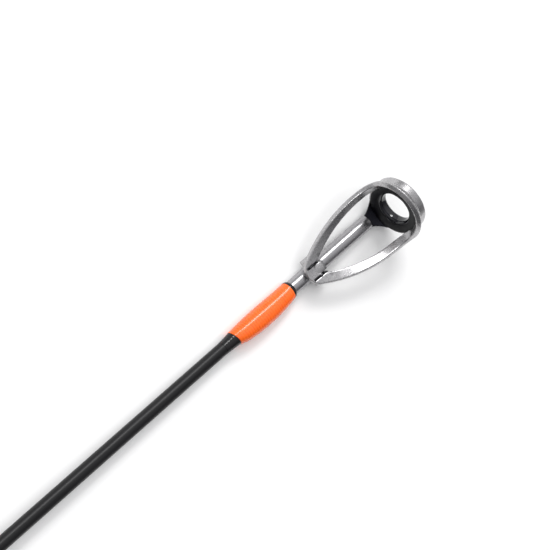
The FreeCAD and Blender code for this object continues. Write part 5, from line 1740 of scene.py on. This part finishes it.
@dataclass(frozen=True)
class Studio:
    """Pale floor under the rod, soft lights, and a long-lens camera at the tip."""

    lens: float = 200.0
    sensor: float = 36.0
    distance: float = 424.4
    toward: Tuple[float, float, float] = (-0.4226, 0.219, 0.879)
    upward: Tuple[float, float, float] = (0.599, 0.796, 0.084)
    aside: float = -2.222
    above: float = 1.889
    bright_side: Tuple[float, float, float] = (0.3, 0.45, 0.84)

    def build(self) -> None:
        """Makes the floor, the world, the lights and the camera."""
        scene = bpy.context.scene
        scene.view_settings.view_transform = "Standard"
        target = Vector((Place.of("tip_trim_wraps").front * MM, 0.0, 0.0))
        self.floor()
        self.world()
        for box in (
            Softbox("key strip", (0.42, 0.58, 0.69), 0.75, (0.42, 0.18), 2.6),
            Softbox("fill softbox", (0.1, 0.15, 0.98), 1.0, (1.2, 1.2), 5.4, mirrored=False),
        ):
            box.build(target)
        self.camera(target)

    def floor(self) -> None:
        """Plane that the butt cap and the tip guide both rest on."""
        butt, tip = Place.of("butt_cap"), Place.of("tip_tube")
        low = (butt.centre[0], float(butt.low[2]))
        high = (tip.centre[0], float(tip.low[2]) - 0.02)
        slope = (high[1] - low[1]) / (high[0] - low[0])
        x, y = np.meshgrid(np.array([-6000.0, 6600.0]), np.array([-6000.0, 6000.0]))
        grid = np.stack([x, y, low[1] + slope * (x - low[0])], -1)
        mesh = bpy.data.meshes.new("floor")
        mesh.from_pydata((grid.reshape(-1, 3) * MM).tolist(), [], [(0, 1, 3, 2)])
        material = bpy.data.materials.new("Matt white paper sweep")
        material.use_nodes = True
        graph = Graph(material.node_tree)
        cloud = graph.add("TexNoise", {**NOISE, "Vector": graph.space(40.0, 40.0, 40.0)}).outputs[0]
        tone = graph.add("Mix", {0: cloud, 6: "#F1F1F1", 7: "#F6F6F5"}, data_type="RGBA").outputs[2]
        inputs = {"Base Color": tone, "Roughness": 0.95, "Specular IOR Level": 0.1}
        shader = graph.add("BsdfPrincipled", inputs)
        graph.add("OutputMaterial", {"Surface": shader.outputs[0]})
        mesh.materials.append(material)
        floor = bpy.data.objects.new("floor", mesh)
        bpy.context.scene.collection.objects.link(floor)

    def world(self) -> None:
        """Grey room that is brightest towards the key light's side."""
        world = bpy.data.worlds.new("studio")
        bpy.context.scene.world = world
        world.use_nodes = True
        graph = Graph(world.node_tree)
        place = graph.add("TexCoord").outputs["Generated"]
        bright = Vector(self.bright_side).normalized()
        facing = graph.add("VectorMath", {0: place, 1: bright}, operation="DOT_PRODUCT")
        near = facing.outputs["Value"]
        share = graph.add("MapRange", (near, 0.1, 0.9, 0.0, 1.0)).outputs[0]
        tone = graph.add("Mix", {0: share, 6: "#6C6C6E", 7: "#ECECEE"}, data_type="RGBA").outputs[2]
        shader = graph.add("Background", {"Color": tone, "Strength": 1.0})
        graph.add("OutputWorld", {"Surface": shader.outputs[0]})

    def camera(self, target: Vector) -> None:
        """Camera that looks down on the tip from behind and to one side."""
        back, up = Vector(self.toward).normalized(), Vector(self.upward)
        right = up.cross(back).normalized()
        up = back.cross(right)
        data = bpy.data.cameras.new("camera")
        data.lens, data.sensor_width = self.lens, self.sensor
        data.clip_start, data.clip_end = 0.01, 50.0
        camera = bpy.data.objects.new("camera", data)
        shift = back * self.distance + right * self.aside + up * self.above
        turn = Matrix((right, up, back)).transposed().to_4x4()
        camera.matrix_world = Matrix.Translation(target + shift * MM) @ turn
        bpy.context.scene.collection.objects.link(camera)
        bpy.context.scene.camera = camera


def main() -> None:
    """Builds every sub-assembly and the room."""
    logging.basicConfig(level=logging.INFO, format="%(name)s %(message)s")
    shape = BlankShape.read()
    Blank(shape).build()
    Handle(shape).build()
    ReelSeat().build()
    HookKeeper(shape).build()
    for number, reach, side_radius in ((1, 18.0, 42.0), (2, 14.0, 32.0), (3, 9.5, 21.0)):
        LineGuide(number, shape, reach, side_radius).build()
    TipGuide(shape).build()
    Studio().build()


if __name__ == "__main__":
    main()
